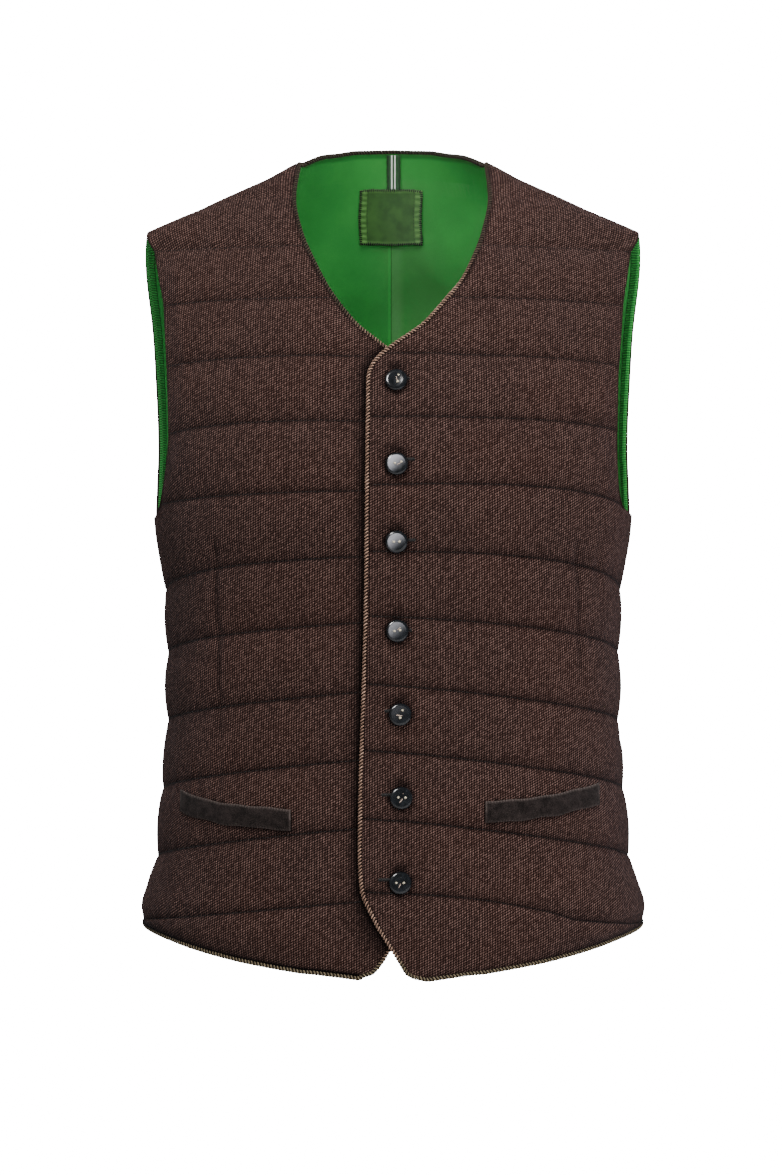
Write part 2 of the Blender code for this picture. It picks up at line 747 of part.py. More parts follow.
def hole_cutter(hand, collection):
    """A post that drills one of a button's two holes."""
    bpy.ops.mesh.primitive_cylinder_add(
        vertices=BUTTON_HOLE_SIDES,
        radius=BUTTON_HOLE_RADIUS,
        depth=BUTTON_HEIGHT * 4,
        location=(hand * BUTTON_HOLE_OFFSET, 0, 0),
    )
    cutter = bpy.context.object
    cutter.name = f"button_hole_cutter_{'left' if hand > 0 else 'right'}"
    for old in list(cutter.users_collection):
        old.objects.unlink(cutter)
    collection.objects.link(cutter)
    cutter.hide_render = True
    cutter.display_type = "WIRE"
    return cutter


def button_mesh(collection, cutters):
    """A two-hole button: a profile turned round Z, face up, with its underside at z = 0."""
    profile = [(BUTTON_RADIUS * across, BUTTON_HEIGHT * up) for across, up in BUTTON_PROFILE]
    mesh = bpy.data.meshes.new("button_profile")
    mesh.from_pydata([(x, 0, z) for x, z in profile], [(i, i + 1) for i in range(len(profile) - 1)], [])
    blank = new_object("button_blank", mesh, "dark_horn", collection)
    screw = blank.modifiers.new("turn", "SCREW")
    screw.axis = "Z"
    screw.steps = screw.render_steps = BUTTON_STEPS
    screw.use_merge_vertices = True
    screw.merge_threshold = 0.00001
    for hand in (-1, 1):
        cut = blank.modifiers.new("hole", "BOOLEAN")
        cut.operation = "DIFFERENCE"
        cut.solver = "EXACT"
        cut.object = hole_cutter(hand, cutters)
    bpy.context.view_layer.update()
    graph = bpy.context.evaluated_depsgraph_get()
    made = bpy.data.meshes.new_from_object(blank.evaluated_get(graph))
    made.name = "button"
    bpy.data.objects.remove(blank)
    return made


def build_buttons(tree, collection, cutters):
    """Seven buttons, each turned to the cloth under its rim and resting on the highest part of it."""
    mesh = button_mesh(collection, cutters)
    for number, (x, z) in enumerate(BUTTONS, start=1):
        middle, normal = laid_on(tree, x, z, 0)
        rim = []
        for k in range(BUTTON_RIM_PROBES):
            angle = math.tau * k / BUTTON_RIM_PROBES
            away = Vector((math.cos(angle), 0, math.sin(angle))) * BUTTON_RADIUS * BUTTON_SEAT
            rim.append(laid_on(tree, x + away.x, z + away.z, 0)[0])
        facing = Vector()
        for a, b in zip(rim, rim[1:] + rim[:1]):
            facing += (a - middle).cross(b - middle)
        facing = facing.normalized() if facing.dot(normal) > 0 else -facing.normalized()
        seat = max(0.0, *((p - middle).dot(facing) for p in rim)) + PIECE_GAP
        turned = facing.to_track_quat("Z", "Y").to_matrix().to_4x4()
        button = bpy.data.objects.new(f"button_{number}", mesh)
        button.matrix_world = Matrix.Translation(middle + facing * seat) @ turned
        collection.objects.link(button)


def main():
    for obj in list(bpy.data.objects):
        bpy.data.objects.remove(obj)
    vest = bpy.data.collections.new("quilted_vest")
    cutters = bpy.data.collections.new("cutters")
    bpy.context.scene.collection.children.link(vest)
    bpy.context.scene.collection.children.link(cutters)
    right = build_front(-1, "right_front", -1, vest)
    left = build_front(1, "left_front", 1, vest)
    back = build_back(vest)
    build_binding(-1, "right_armhole_binding", right, back, vest)
    build_binding(1, "left_armhole_binding", left, back, vest)
    build_welt(-1, "right", face_tree(right.outer), vest)
    build_welt(1, "left", face_tree(left.outer), vest)
    build_neck_trim(face_tree(back.lining_faces()[0]), vest)
    build_buttons(face_tree(left.outer), vest, cutters)


main()
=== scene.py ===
# %% [markdown]
# # A quilted vest, dressed
# The solids of this vest come packed from CAD: two lapped fronts, a back, their linings, cords, welts and
# buttons. This notebook gives each of them its finish. Cloth is rebuilt as a finer shell on the same body
# form, so that the padding, the creases and the stitches can be seen, and every surface gets a material
# made of nodes.
#
# Units are metres, Z is up, and the wearer faces -Y. The wearer's left is +X, which is right in the
# picture.

import math

import bmesh
import bpy
import numpy as np
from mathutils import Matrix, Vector
from mathutils.bvhtree import BVHTree


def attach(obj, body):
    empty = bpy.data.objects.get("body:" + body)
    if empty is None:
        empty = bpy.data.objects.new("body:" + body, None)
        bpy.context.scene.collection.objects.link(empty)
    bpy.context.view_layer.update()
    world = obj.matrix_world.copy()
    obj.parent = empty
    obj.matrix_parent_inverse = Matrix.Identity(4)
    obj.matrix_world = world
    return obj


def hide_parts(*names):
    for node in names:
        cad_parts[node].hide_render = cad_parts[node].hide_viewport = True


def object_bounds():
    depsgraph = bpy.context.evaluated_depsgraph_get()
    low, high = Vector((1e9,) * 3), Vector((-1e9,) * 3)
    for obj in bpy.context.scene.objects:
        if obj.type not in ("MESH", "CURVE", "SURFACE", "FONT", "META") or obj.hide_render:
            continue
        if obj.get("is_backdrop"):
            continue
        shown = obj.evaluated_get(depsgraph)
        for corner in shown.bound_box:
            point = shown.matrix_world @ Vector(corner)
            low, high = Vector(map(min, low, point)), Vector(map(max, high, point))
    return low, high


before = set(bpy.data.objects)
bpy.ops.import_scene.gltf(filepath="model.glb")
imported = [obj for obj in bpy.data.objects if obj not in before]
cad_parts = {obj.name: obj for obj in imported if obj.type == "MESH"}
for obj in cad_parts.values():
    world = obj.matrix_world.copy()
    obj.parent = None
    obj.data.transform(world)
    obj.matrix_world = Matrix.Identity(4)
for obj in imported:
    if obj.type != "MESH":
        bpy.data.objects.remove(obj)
cad_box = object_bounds()
print("nodes:", len(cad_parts), "box:", [[round(v, 3) for v in corner] for corner in cad_box])

# %% [markdown]
# ## Camera
# The vest was photographed straight from the front through a long lens. An 18 mm button is 22 pixels wide
# in the picture, which is 0.82 mm for a pixel at the side seams. From there the lens follows: the
# picture's longer side, 1175 pixels, has to span 0.9635 m at the distance of the side seams.

# %% Camera
IMAGE_HEIGHT = 1175         # pixels of the photograph's longer side
METRES_PER_PIXEL = 0.00082
CAMERA_DISTANCE = 3.5
CAMERA_X = -0.0016
CAMERA_Z = -0.3145
SENSOR = 36.0               # millimetres


def added(name, data):
    """A new object in the scene, which shows a mesh, a lamp or a camera."""
    obj = bpy.data.objects.new(name, data)
    bpy.context.scene.collection.objects.link(obj)
    return obj


camera_data = bpy.data.cameras.new("camera")
camera_data.sensor_width = SENSOR
camera_data.lens = SENSOR * CAMERA_DISTANCE / (IMAGE_HEIGHT * METRES_PER_PIXEL)
camera = added("camera", camera_data)
camera.location = (CAMERA_X, -CAMERA_DISTANCE, CAMERA_Z)
camera.rotation_euler = (math.radians(90), 0, 0)
bpy.context.scene.camera = camera
print(f"lens {camera_data.lens:.1f} mm")

# %% [markdown]
# ## Shader maths
# A knit is a sum of small rules: which column, which stitch, how far from its middle. Written as nodes by
# hand they fill pages, so a small class wraps a socket. Adding or multiplying two of them adds the Math
# node, and one method makes every other kind of node.

# %% A socket that can be reckoned with
class Wire:
    """An output socket in a node tree. Sums, differences, products and quotients of wires add Math nodes."""

    def __init__(self, tree, socket):
        self.tree = tree
        self.socket = socket

    def node(self, kind, settings=None, sockets=None, out=0):
        """A new node: its settings first, then the values or links of its sockets. Returns one output."""
        made = self.tree.nodes.new(kind)
        for name, value in (settings or {}).items():
            if name == "stops":
                ramp = made.color_ramp
                while len(ramp.elements) < len(value):
                    ramp.elements.new(0.5)
                for element, (place, colour) in zip(ramp.elements, value):
                    element.position = place
                    element.color = (*colour, 1)
            else:
                setattr(made, name, value)
        for name, value in (sockets or {}).items():
            if isinstance(value, Wire):
                self.tree.links.new(value.socket, made.inputs[name])
            else:
                made.inputs[name].default_value = value
        return Wire(self.tree, made.outputs[out])

    def math(self, operation, *others):
        return self.node("ShaderNodeMath", {"operation": operation}, {0: self, **dict(enumerate(others, 1))})

    def vector(self, operation, other):
        """Vector maths, for places and directions. SCALE takes a number as the other, the rest a vector."""
        sockets = {0: self, "Scale" if operation == "SCALE" else 1: other}
        return self.node("ShaderNodeVectorMath", {"operation": operation}, sockets)

    def __add__(self, other):
        return self.math("ADD", other)

    def __sub__(self, other):
        return self.math("SUBTRACT", other)

    def __rsub__(self, other):
        return self.node("ShaderNodeMath", {"operation": "SUBTRACT"}, {0: other, 1: self})

    def __mul__(self, other):
        return self.math("MULTIPLY", other)

    def __truediv__(self, other):
        return self.math("DIVIDE", other)

    def __pow__(self, other):
        return self.math("POWER", other)

    __radd__ = __add__
    __rmul__ = __mul__

    def step(self, low, high):
        """0 below low, 1 above high, and a soft step between; falls instead where low is the larger."""
        sockets = {"Value": self, "From Min": low, "From Max": high}
        return self.node("ShaderNodeMapRange", {"interpolation_type": "SMOOTHSTEP"}, sockets)

    def colour(self, low, high):
        """A colour that runs from low to high as this wire runs from 0 to 1."""
        ends = {k: end if isinstance(end, Wire) else (*end, 1) for k, end in ((6, low), (7, high))}
        return self.node("ShaderNodeMix", {"data_type": "RGBA"}, {0: self, **ends}, out=2)

    def carried(self, name, kind="FLOAT"):
        """In a Geometry Nodes tree: what the points carry under a name."""
        return self.node("GeometryNodeInputNamedAttribute", {"data_type": kind}, {"Name": name})

    def carrying(self, name, value, kind="FLOAT"):
        """In a Geometry Nodes tree: the same shape, with a value kept at its points under a name."""
        return self.node("GeometryNodeStoreNamedAttribute", {"data_type": kind, "domain": "POINT"},
                         {0: self, "Name": name, "Value": value})


class Finish:
    """A material under construction, with the patterns' usual starting points."""

    def __init__(self, name, **fixed):
        self.material = bpy.data.materials.new(name)
        self.material.use_nodes = True
        tree = self.material.node_tree
        self.shader = tree.nodes["Principled BSDF"]
        self.start = Wire(tree, self.shader.outputs[0])
        for socket, value in fixed.items():
            self.shader.inputs[socket.replace("_", " ")].default_value = value

    def place(self):
        """Where a point is, in metres."""
        return self.start.node("ShaderNodeTexCoord", out=3)

    def axes(self):
        """The three coordinates of that place."""
        split = self.start.node("ShaderNodeSeparateXYZ", None, {0: self.place()})
        return [Wire(split.tree, split.socket.node.outputs[k]) for k in range(3)]

    def cloth(self):
        """Across and down the cloth, in metres, from the piece's own UV map."""
        uv = self.start.node("ShaderNodeUVMap", {"uv_map": "cloth"})
        both = uv.node("ShaderNodeSeparateXYZ", None, {0: uv})
        return both, Wire(both.tree, both.socket.node.outputs[1])

    def value(self, attribute):
        """A number that the piece carries at its points."""
        return self.start.node("ShaderNodeAttribute", {"attribute_name": attribute}, out=2)

    def noise(self, scale, detail=3.0, vector=None):
        sockets = {"Vector": vector or self.place(), "Scale": scale, "Detail": detail}
        return self.start.node("ShaderNodeTexNoise", None, sockets)

    def cell_noise(self, across, down):
        """A number from 0 to 1 for each whole cell."""
        cell = across.node("ShaderNodeCombineXYZ", None, {0: across, 1: down})
        return cell.node("ShaderNodeTexWhiteNoise", {"noise_dimensions": "2D"}, {"Vector": cell})

    def surface(self, colour=None, roughness=None, height=None, depth=0.0005, strength=1.0):
        """Joins the pattern to the shader. height runs from 0 to 1 over a relief depth metres deep."""
        links = self.shader.id_data.links
        if colour is not None:
            links.new(colour.socket, self.shader.inputs["Base Color"])
        if roughness is not None:
            links.new(roughness.socket, self.shader.inputs["Roughness"])
        if height is not None:
            sockets = {"Height": height, "Distance": depth, "Strength": strength}
            bump = height.node("ShaderNodeBump", None, sockets)
            links.new(bump.socket, self.shader.inputs["Normal"])
        return self


# %% [markdown]
# ## The brown knit
# The face of the vest is a fine wool knit. Each stitch shows as a short tick that leans down to the right,
# and neighbouring columns are half a stitch apart. Between the ticks painted shade makes the knit almost
# black, and their tips are painted lighter where they catch the light. The pattern follows the cloth's own
# UV map, in metres, so that a stitch keeps its size over the padding. A wider noise tints patches of it
# redder or greyer, as mixed wool is.

# %% Brown knit
STITCH_WIDTH = 0.00205
STITCH_HEIGHT = 0.00200
STITCH_LEAN = 0.85          # how far a tick drops across its column, in stitches
# painted shade: the near-black between the ticks, and the colour the knit darkens to where shade is painted
KNIT_SHADE = (0.0016, 0.0008, 0.0007)
KNIT_YARN = (0.029, 0.0130, 0.0102)
KNIT_WARM = (1.25, 1.05, 0.92)      # how the redder patches differ from that, channel by channel
KNIT_TIP = (0.350, 0.208, 0.176)


def knit_ticks(finish):
    """The relief of slanting stitches, and a random number for each of them."""
    across, down = finish.cloth()
    columns = across / STITCH_WIDTH
    column = columns.math("FLOOR")
    side = columns - column - 0.5
    rows = down / STITCH_HEIGHT + column.math("PINGPONG", 1.0) * 0.5 + side * STITCH_LEAN
    row = rows.math("FLOOR")
    along = rows - row - 0.5
    tick = (1 - (along * 2.15) ** 2).math("MAXIMUM", 0.0) * (1 - (side * 1.9) ** 2).math("MAXIMUM", 0.0)
    return tick, finish.cell_noise(column, row)


def knit_finish():
    made = Finish("brown knit", Roughness=0.95, Sheen_Weight=0.05, Sheen_Roughness=0.5,
                  Sheen_Tint=(0.62, 0.60, 0.72, 1), Specular_IOR_Level=0.05)
    tick, chance = knit_ticks(made)
    patch = made.noise(14.0, 2.0).step(0.35, 0.68)
    fibre = made.noise(2600.0, 2.0)
    warm = patch.colour(KNIT_YARN, tuple(c * more for c, more in zip(KNIT_YARN, KNIT_WARM)))
    body = (tick * 1.25).math("MINIMUM", 1.0).colour(KNIT_SHADE, warm)
    lit = (tick ** 2.2) * (chance * 0.75 + 0.25) * (fibre * 0.9 + 0.35)
    ground = lit.math("MINIMUM", 1.0).colour(body, KNIT_TIP)
    # painted shade: the points' "line" value darkens the knit along quilting lines, darts, hem and front
    # edges, round buttons, under welts and beside the lap
    painted_light = (made.value("line") * 0.86).math("MINIMUM", 1.0)
    return made.surface(painted_light.colour(ground, KNIT_SHADE), None, tick * 0.8 + fibre * 0.2, 0.0011, 0.75)


brown_knit = knit_finish()
print("brown knit has", len(brown_knit.material.node_tree.nodes), "nodes")

# %% [markdown]
# ## The green lining
# Inside, the vest is lined with a smooth cotton satin in a bright green. It is even, with a fine diagonal
# that shows only close up, and a soft mottle. Along the armholes a darker, ribbed tape covers the raw
# edge: the pieces carry their distance from that edge, so the same material can change there.

# %% Green lining
GREEN = (0.044, 0.322, 0.056)
GREEN_DEEP = (0.029, 0.225, 0.040)
GREEN_PALE = (0.115, 0.330, 0.115)      # the strip beside the pleat's fold
GREEN_FOLD = (0.050, 0.480, 0.075)      # the fold itself, which catches the light
GREEN_SHADE = (0.006, 0.070, 0.010)     # under the fold and under the neck's cord
# painted light round the armholes, where the fronts shade the lining
GREEN_ARMHOLE_LIGHT = (0.095, 0.560, 0.125)    # round the armholes
TAPE_DARK = (0.010, 0.100, 0.018)
TAPE_LIGHT = (0.085, 0.520, 0.110)
TAPE_SEAM = (0.004, 0.030, 0.007)
SEAM_X = -0.0013            # the centre back seam
RIB_PITCH = 0.0021
TAPE_EDGE = 0.0062          # width of the ribbed tape
TWILL_PITCH = 0.0007


def ribs(place, pitch):
    """0 in the grooves of a ribbed surface and 1 on its ribs."""
    return (place / pitch * math.tau).math("SINE") * 0.5 + 0.5


def lining_finish():
    made = Finish("green lining", Roughness=0.6, Specular_IOR_Level=0.2, Sheen_Weight=0.03)
    across, down = made.cloth()
    mottle = made.noise(22.0, 4.0).step(0.30, 0.72)
    twill = ribs(across + down, TWILL_PITCH)
    grain = made.noise(1500.0, 2.0).step(0.32, 0.68)
    satin = (mottle * 0.55 + twill * 0.15 + grain * 0.30).colour(GREEN_DEEP, GREEN)
    # the pleat down the centre back, below the label
    x, y, z = made.axes()
    below_label = z.step(-0.024, -0.030) * y.step(0.02, 0.03)
    from_seam = x - SEAM_X
    faded = (mottle * 0.3 + 0.7) * from_seam.step(0.0125, 0.0045)
    pale = faded * from_seam.step(0.0, 0.0003) * below_label * z.step(0.010, -0.085) * 0.62
    bright = (from_seam + 0.0016).math("ABSOLUTE").step(0.0014, 0.0007) * below_label * 0.40
    dark = from_seam.math("ABSOLUTE").step(0.00050, 0.00015) * below_label * 0.75
    under_neck = (y.step(0.02, 0.03) * made.value("neck").step(0.0055, 0.0025)) * 0.55
    pleated = bright.colour(pale.colour(satin, GREEN_PALE), GREEN_FOLD)
    pleated = dark.math("MAXIMUM", under_neck).colour(pleated, GREEN_SHADE)
    # painted light round the armholes, where the fronts shade the lining, and the ribbed tape there
    edge = made.value("edge")
    faced = (edge.step(0.030, 0.014) * 0.9).colour(pleated, GREEN_ARMHOLE_LIGHT)
    rib = ribs(made.value("round"), RIB_PITCH)
    taped = (rib * 0.8 + mottle * 0.2).colour(TAPE_DARK, TAPE_LIGHT)
    tape = edge.step(TAPE_EDGE, TAPE_EDGE - 0.0005)
    seam = (edge - TAPE_EDGE).math("ABSOLUTE").step(0.0008, 0.0002) * 0.8
    stitched = seam.colour(tape.colour(faced, taped), TAPE_SEAM)
    relief = twill * 0.15 + mottle * 0.2 + tape * rib * 0.65
    return made.surface(stitched, tape * 0.3 + 0.5, relief, 0.0008, 0.6)


green_lining = lining_finish()

# %% [markdown]
# ## Edging, felt, label and tape
# The edges are trimmed with a two-ply wool cord in a lighter brown. Shade is painted in the grooves between
# its plies, which the cord's own mesh carries as numbers round and along it. The pocket welts are charcoal
# felt: no pattern, only fibres that lie in all directions. The label in the neck is a plain olive cloth
# with nothing on it, and the hanging tape above it is dark green with two white lines.

# %% Cord edging
# the pale cord's crown, in two tones, and the shade painted in its groove; then the dark cord's,
# at the hem and at the neck
LIGHT_PLY = ((0.680, 0.430, 0.310), (0.440, 0.268, 0.190))
LIGHT_GROOVE_SHADE = (0.010, 0.006, 0.004)
HEM_PLY = (0.210, 0.175, 0.105)
NECK_PLY = (0.062, 0.050, 0.034)
DARK_GROOVE_SHADE = (0.0060, 0.0042, 0.0030)
HEM_LEVELS = (-0.54, -0.57)     # between these heights the dark cord turns to the hem's colour


def edging_finish():
    made = Finish("twisted cord", Roughness=0.9, Sheen_Weight=0.05, Specular_IOR_Level=0.1)
    ply = (made.value("ply") * math.tau).math("COSINE") * 0.5 + 0.5
    fibre = made.noise(1900.0, 3.0)
    patch = made.noise(60.0, 2.0).step(0.35, 0.65)
    # painted shade in the grooves between the plies, from the ply value
    lit = (ply * 1.3 + fibre * 0.5 - 0.50).math("MAXIMUM", 0.0).math("MINIMUM", 1.0)
    light = lit.colour(LIGHT_GROOVE_SHADE, patch.colour(*LIGHT_PLY))
    dark = lit.colour(DARK_GROOVE_SHADE, made.axes()[2].step(*HEM_LEVELS).colour(NECK_PLY, HEM_PLY))
    return made.surface(made.value("tone").colour(dark, light), None, ply * 0.6 + fibre * 0.4, 0.0005, 0.8)


edging = edging_finish()

# %% Felt, label and hanging tape
FELT = ((0.0048, 0.0034, 0.0031), (0.036, 0.0265, 0.0245))
# painted highlight along a welt's rim, strongest at the folded top
FELT_FOLD_HIGHLIGHT = (0.170, 0.132, 0.120)
FOLD_STITCH = 0.0023        # pitch of the paler dots along the fold
OLIVE = ((0.018, 0.070, 0.011), (0.046, 0.142, 0.025))
# painted highlight on the label's turned-under hems and their small folds
OLIVE_FOLD_HIGHLIGHT = (0.120, 0.300, 0.070)
LABEL_THREAD = 0.0008
LABEL_PLEAT = 0.0046        # pitch of the small folds along the label's sides
TAPE_GROUND = ((0.006, 0.030, 0.010), (0.022, 0.120, 0.030))
TAPE_WHITE = ((0.80, 0.86, 0.78), (1.0, 1.0, 0.96))
TAPE_RIB = 0.0009
TAPE_LINES = (-0.0010, 0.0017)      # x of the two white lines


def felt_finish():
    made = Finish("charcoal felt", Roughness=0.97, Sheen_Weight=0.05, Sheen_Roughness=0.6,
                  Specular_IOR_Level=0.05)
    fibre = made.noise(1500.0, 5.0)
    blotch = made.noise(160.0, 3.0)
    tone = (fibre * 0.65 + blotch * 0.5).step(0.38, 0.80)
    # painted highlight along the rim, broken into dots
    dots = (made.cloth()[0] / FOLD_STITCH * math.tau).math("SINE") * 0.35 + 0.75
    rim = (made.value("rim") * (fibre * 0.8 + 0.3) * dots).math("MINIMUM", 1.0)
    return made.surface(rim.colour(tone.colour(*FELT), FELT_FOLD_HIGHLIGHT), None, tone, 0.0006, 0.7)


def label_finish():
    made = Finish("olive label", Roughness=0.78, Sheen_Weight=0.1)
    across, down = made.cloth()
    weave = (across / LABEL_THREAD * math.tau).math("SINE") * (down / LABEL_THREAD * math.tau).math("SINE")
    weave = weave * 0.5 + 0.5
    blotch = made.noise(90.0, 4.0).step(0.3, 0.7)
    body = (blotch * 0.6 + weave * 0.4).colour(*OLIVE)
    # painted highlight on the turned-under hems, in stripes along the small folds
    fold = (down / LABEL_PLEAT * math.tau + blotch * 2.5).math("SINE") * 0.5 + 0.5
    painted_light = made.noise(240.0, 3.0) * 0.5 + fold * 0.55 + 0.05
    fold_highlight = (made.value("hem") * painted_light).math("MINIMUM", 1.0)
    return made.surface(fold_highlight.colour(body, OLIVE_FOLD_HIGHLIGHT), None, weave * 0.4 + blotch * 0.6, 0.0004, 0.6)


def tape_finish():
    """Two white lines along dark green ribbed tape."""
    made = Finish("striped tape", Roughness=0.7, Sheen_Weight=0.1)
    across, down = made.cloth()
    rib = ribs(down, TAPE_RIB)
    first, second = ((across - x).math("ABSOLUTE").step(0.00068, 0.00048) for x in TAPE_LINES)
    striped = (first + second).colour(rib.colour(*TAPE_GROUND), rib.colour(*TAPE_WHITE))
    return made.surface(striped, None, rib, 0.0003, 0.6)


charcoal_felt = felt_finish()
olive_label = label_finish()
striped_tape = tape_finish()

# %% [markdown]
# ## Horn and thread
# The buttons are polished horn, blue-black, with cream streaks where the horn's layers come through. Noise
# that is stretched one way gives such streaks, and because it is read at the button's own place, no two
# are alike. The threads are matt, with a faint twist.

# %% Horn and threads
HORN = ((0.0030, 0.0042, 0.0056), (0.0100, 0.0130, 0.0170))
# painted reflection: the pale colour of a lamp's reflection on a button's face
HORN_REFLECTION = (0.56, 0.57, 0.62)
THREAD_SHADE = 0.45         # how dark the grooves of a thread's twist are


def horn_finish():
    made = Finish("dark horn", Roughness=0.16, Coat_Weight=0.4, Coat_Roughness=0.05, Specular_IOR_Level=0.4)
    turned = made.start.node("ShaderNodeMapping", None,
                             {"Vector": made.place(), "Rotation": (0.0, 0.6, 0.4), "Scale": (1.0, 0.3, 0.45)})
    bent = made.noise(310.0, 2.0, turned)
    cloud = bent.step(0.3, 0.8)
    # painted reflection, mixed in by the points' value
    with_reflection = made.value("silver").colour(cloud.colour(*HORN), HORN_REFLECTION)
    return made.surface(with_reflection, cloud * 0.08 + 0.20, bent, 0.0002, 0.10)


def thread_finish(name, colour):
    made = Finish(name, Roughness=0.75, Sheen_Weight=0.1)
    fibre = made.noise(3000.0, 2.0)
    dark = tuple(c * THREAD_SHADE for c in colour)
    return made.surface(fibre.step(0.3, 0.7).colour(dark, colour), None, fibre, 0.0002, 0.5)


dark_horn = horn_finish()
quilting_thread = thread_finish("quilting thread", (0.011, 0.007, 0.006))
cream_thread = thread_finish("cream thread", (1.0, 0.90, 0.66))
pale_horn = thread_finish("pale horn", (0.72, 0.56, 0.46))
green_thread = thread_finish("green thread", (0.0025, 0.010, 0.003))
silk_thread = thread_finish("buttonhole thread", (0.020, 0.013, 0.011))
# near-black threads laid in each buttonhole's slit: painted shade in the opening
slit_shade_finish = thread_finish("slit", (0.0025, 0.002, 0.002))
print("finishes:", len(bpy.data.materials))

# %% [markdown]
# ## The body form
# A garment that is worn takes its form from a body, so the cloth is laid on one: level sections that are
# superellipses, with their half width and their depth given at named heights, and a shoulder ridge that
# closes them above. The CAD uses the same form, to within a few millimetres. Here it is reckoned with
# whole arrays at once, because the finer shells have a hundred times as many points.

# %% Smooth curves through a few values
class Run:
    """The smooth curve through (place, value) pairs in rising order of place. It never overshoots them."""

    def __init__(self, pairs):
        self.at, self.values = (np.array(c, float) for c in zip(*pairs))
        steps = np.diff(self.values) / np.diff(self.at)
        before, after = steps[:-1], steps[1:]
        same = before * after > 0
        inner = np.where(same, 2 * before * after / np.where(same, before + after, 1), 0)
        self.slopes = np.concatenate([steps[:1], inner, steps[-1:]])

    def __call__(self, place):
        place = np.clip(place, self.at[0], self.at[-1])
        i = np.clip(np.searchsorted(self.at, place, side="right") - 1, 0, len(self.at) - 2)
        span = self.at[i + 1] - self.at[i]
        t = (place - self.at[i]) / span
        start = (1 + 2 * t) * (1 - t) ** 2 * self.values[i] + t * (1 - t) ** 2 * span * self.slopes[i]
        end = t * t * (3 - 2 * t) * self.values[i + 1] + t * t * (t - 1) * span * self.slopes[i + 1]
        return start + end


def smooth(share):
    share = np.clip(share, 0.0, 1.0)
    return share * share * (3 - 2 * share)


def lerp(a, b, share):
    return a + (b - a) * share


# %% Sizes of the body form
SQUARENESS = 2.4            # exponent of the level sections
CHEST_Z = -0.250            # above this level the chest and back run in to the shoulder ridge
RIDGE_Y = 0.018             # the shoulder seam's upright plane
RIDGE_Z = 0.0300            # ridge height at RIDGE_X
RIDGE_X = 0.080
RIDGE_SLOPE = 0.4457
RIDGE_ROUND = 0.020
NECK_RISE = 0.050           # how far the nape stands above the ridge line
NECK_POINT_X = 0.0760
NECK_LIFT = 0.0030          # the ridge curves up by this much where it meets the neck
NECK_LIFT_REACH = 0.030
TIP_X = 0.2003
FRONT_TIP_ROUND = 0.0034    # how far the armhole edge bows outwards just below the shoulder tip
BACK_TIP_ROUND = 0.0010
CHEST_CURVE = 1.42
BACK_CURVE = 2.05
RIDGE_SPREAD = 1.6
SLOPE_STEP = 0.0004

# height, half width, depth in front of and behind the side seams
BODY = (
    ("hem", -0.640, 0.1965, 0.138, 0.130),
    ("flare", -0.578, 0.2020, 0.137, 0.128),
    ("flare top", -0.556, 0.1955, 0.134, 0.125),
    ("hip", -0.530, 0.1895, 0.131, 0.121),
    ("high hip", -0.490, 0.1865, 0.127, 0.112),
    ("waist", -0.425, 0.1815, 0.122, 0.101),
    ("ribs", -0.350, 0.1815, 0.122, 0.101),
    ("low chest", -0.300, 0.1848, 0.126, 0.107),
    ("chest", -0.250, 0.1922, 0.129, 0.113),
    ("high chest", -0.200, 0.1965, 0.131, 0.118),
    ("arm", -0.150, 0.2030, 0.132, 0.121),
    ("shoulder", -0.100, 0.2085, 0.132, 0.121),
    ("shoulder tip", -0.050, 0.2130, 0.132, 0.120),
    ("top", 0.060, 0.2150, 0.132, 0.118),
)
half_width = Run([(z, width) for _, z, width, _, _ in BODY])
front_depth = Run([(z, front) for _, z, _, front, _ in BODY])
back_depth = Run([(z, back) for _, z, _, _, back in BODY])


# %% Points on the body form
def ridge_height(x, side):
    """Height of the shoulder ridge over x. On the back, side +1, it rises into the nape."""
    height = RIDGE_Z - RIDGE_SLOPE * (np.hypot(x, RIDGE_ROUND) - RIDGE_X)
    height = height + NECK_LIFT * smooth((NECK_POINT_X + NECK_LIFT_REACH - np.abs(x)) / NECK_LIFT_REACH)
    if side > 0:
        height = height + NECK_RISE * (1 - np.minimum(1, np.abs(x) / NECK_POINT_X) ** 2) ** 2
    return height


def form_y(x, z, side):
    """Depth of the cloth's inner face: in front of the side seams for side -1, behind them for +1."""
    depth = (front_depth if side < 0 else back_depth)(z)
    out = np.minimum(1.0, np.abs(x) / half_width(z))
    y = side * depth * (1 - out**SQUARENESS) ** (1 / SQUARENESS)
    rise = np.clip((z - CHEST_Z) / (ridge_height(x, side) - CHEST_Z), 0.0, 1.0)
    curve = CHEST_CURVE if side < 0 else BACK_CURVE
    return np.where(z <= CHEST_Z, y, RIDGE_Y + (y - RIDGE_Y) * (1 - rise**curve) ** (1 / curve))


def turn_of(x, z):
    share = np.minimum(1.0, np.abs(x) / half_width(z))
    return np.copysign(np.arcsin(share ** (SQUARENESS / 2)), x)


def x_of(turn, z):
    return np.copysign(np.abs(np.sin(turn)) ** (2 / SQUARENESS), turn) * half_width(z)


def form_normal(points, side):
    """The way the form faces at points of shape (..., 3)."""
    z = points[..., 2]
    reach = half_width(z) - 2 * SLOPE_STEP
    x = np.copysign(np.minimum(np.abs(points[..., 0]), reach), points[..., 0])
    over_x = form_y(x + SLOPE_STEP, z, side) - form_y(x - SLOPE_STEP, z, side)
    over_z = form_y(x, z + SLOPE_STEP, side) - form_y(x, z - SLOPE_STEP, side)
    normal = np.stack([-over_x, np.full_like(x, 2 * SLOPE_STEP), -over_z], axis=-1)
    return side * normal / np.linalg.norm(normal, axis=-1, keepdims=True)


WAIST_Z = -0.400
waist = half_width(WAIST_Z), (front_depth(WAIST_Z) + back_depth(WAIST_Z)) / 2
print(f"waist girth about {math.tau * math.hypot(*waist) / math.sqrt(2):.2f} m")

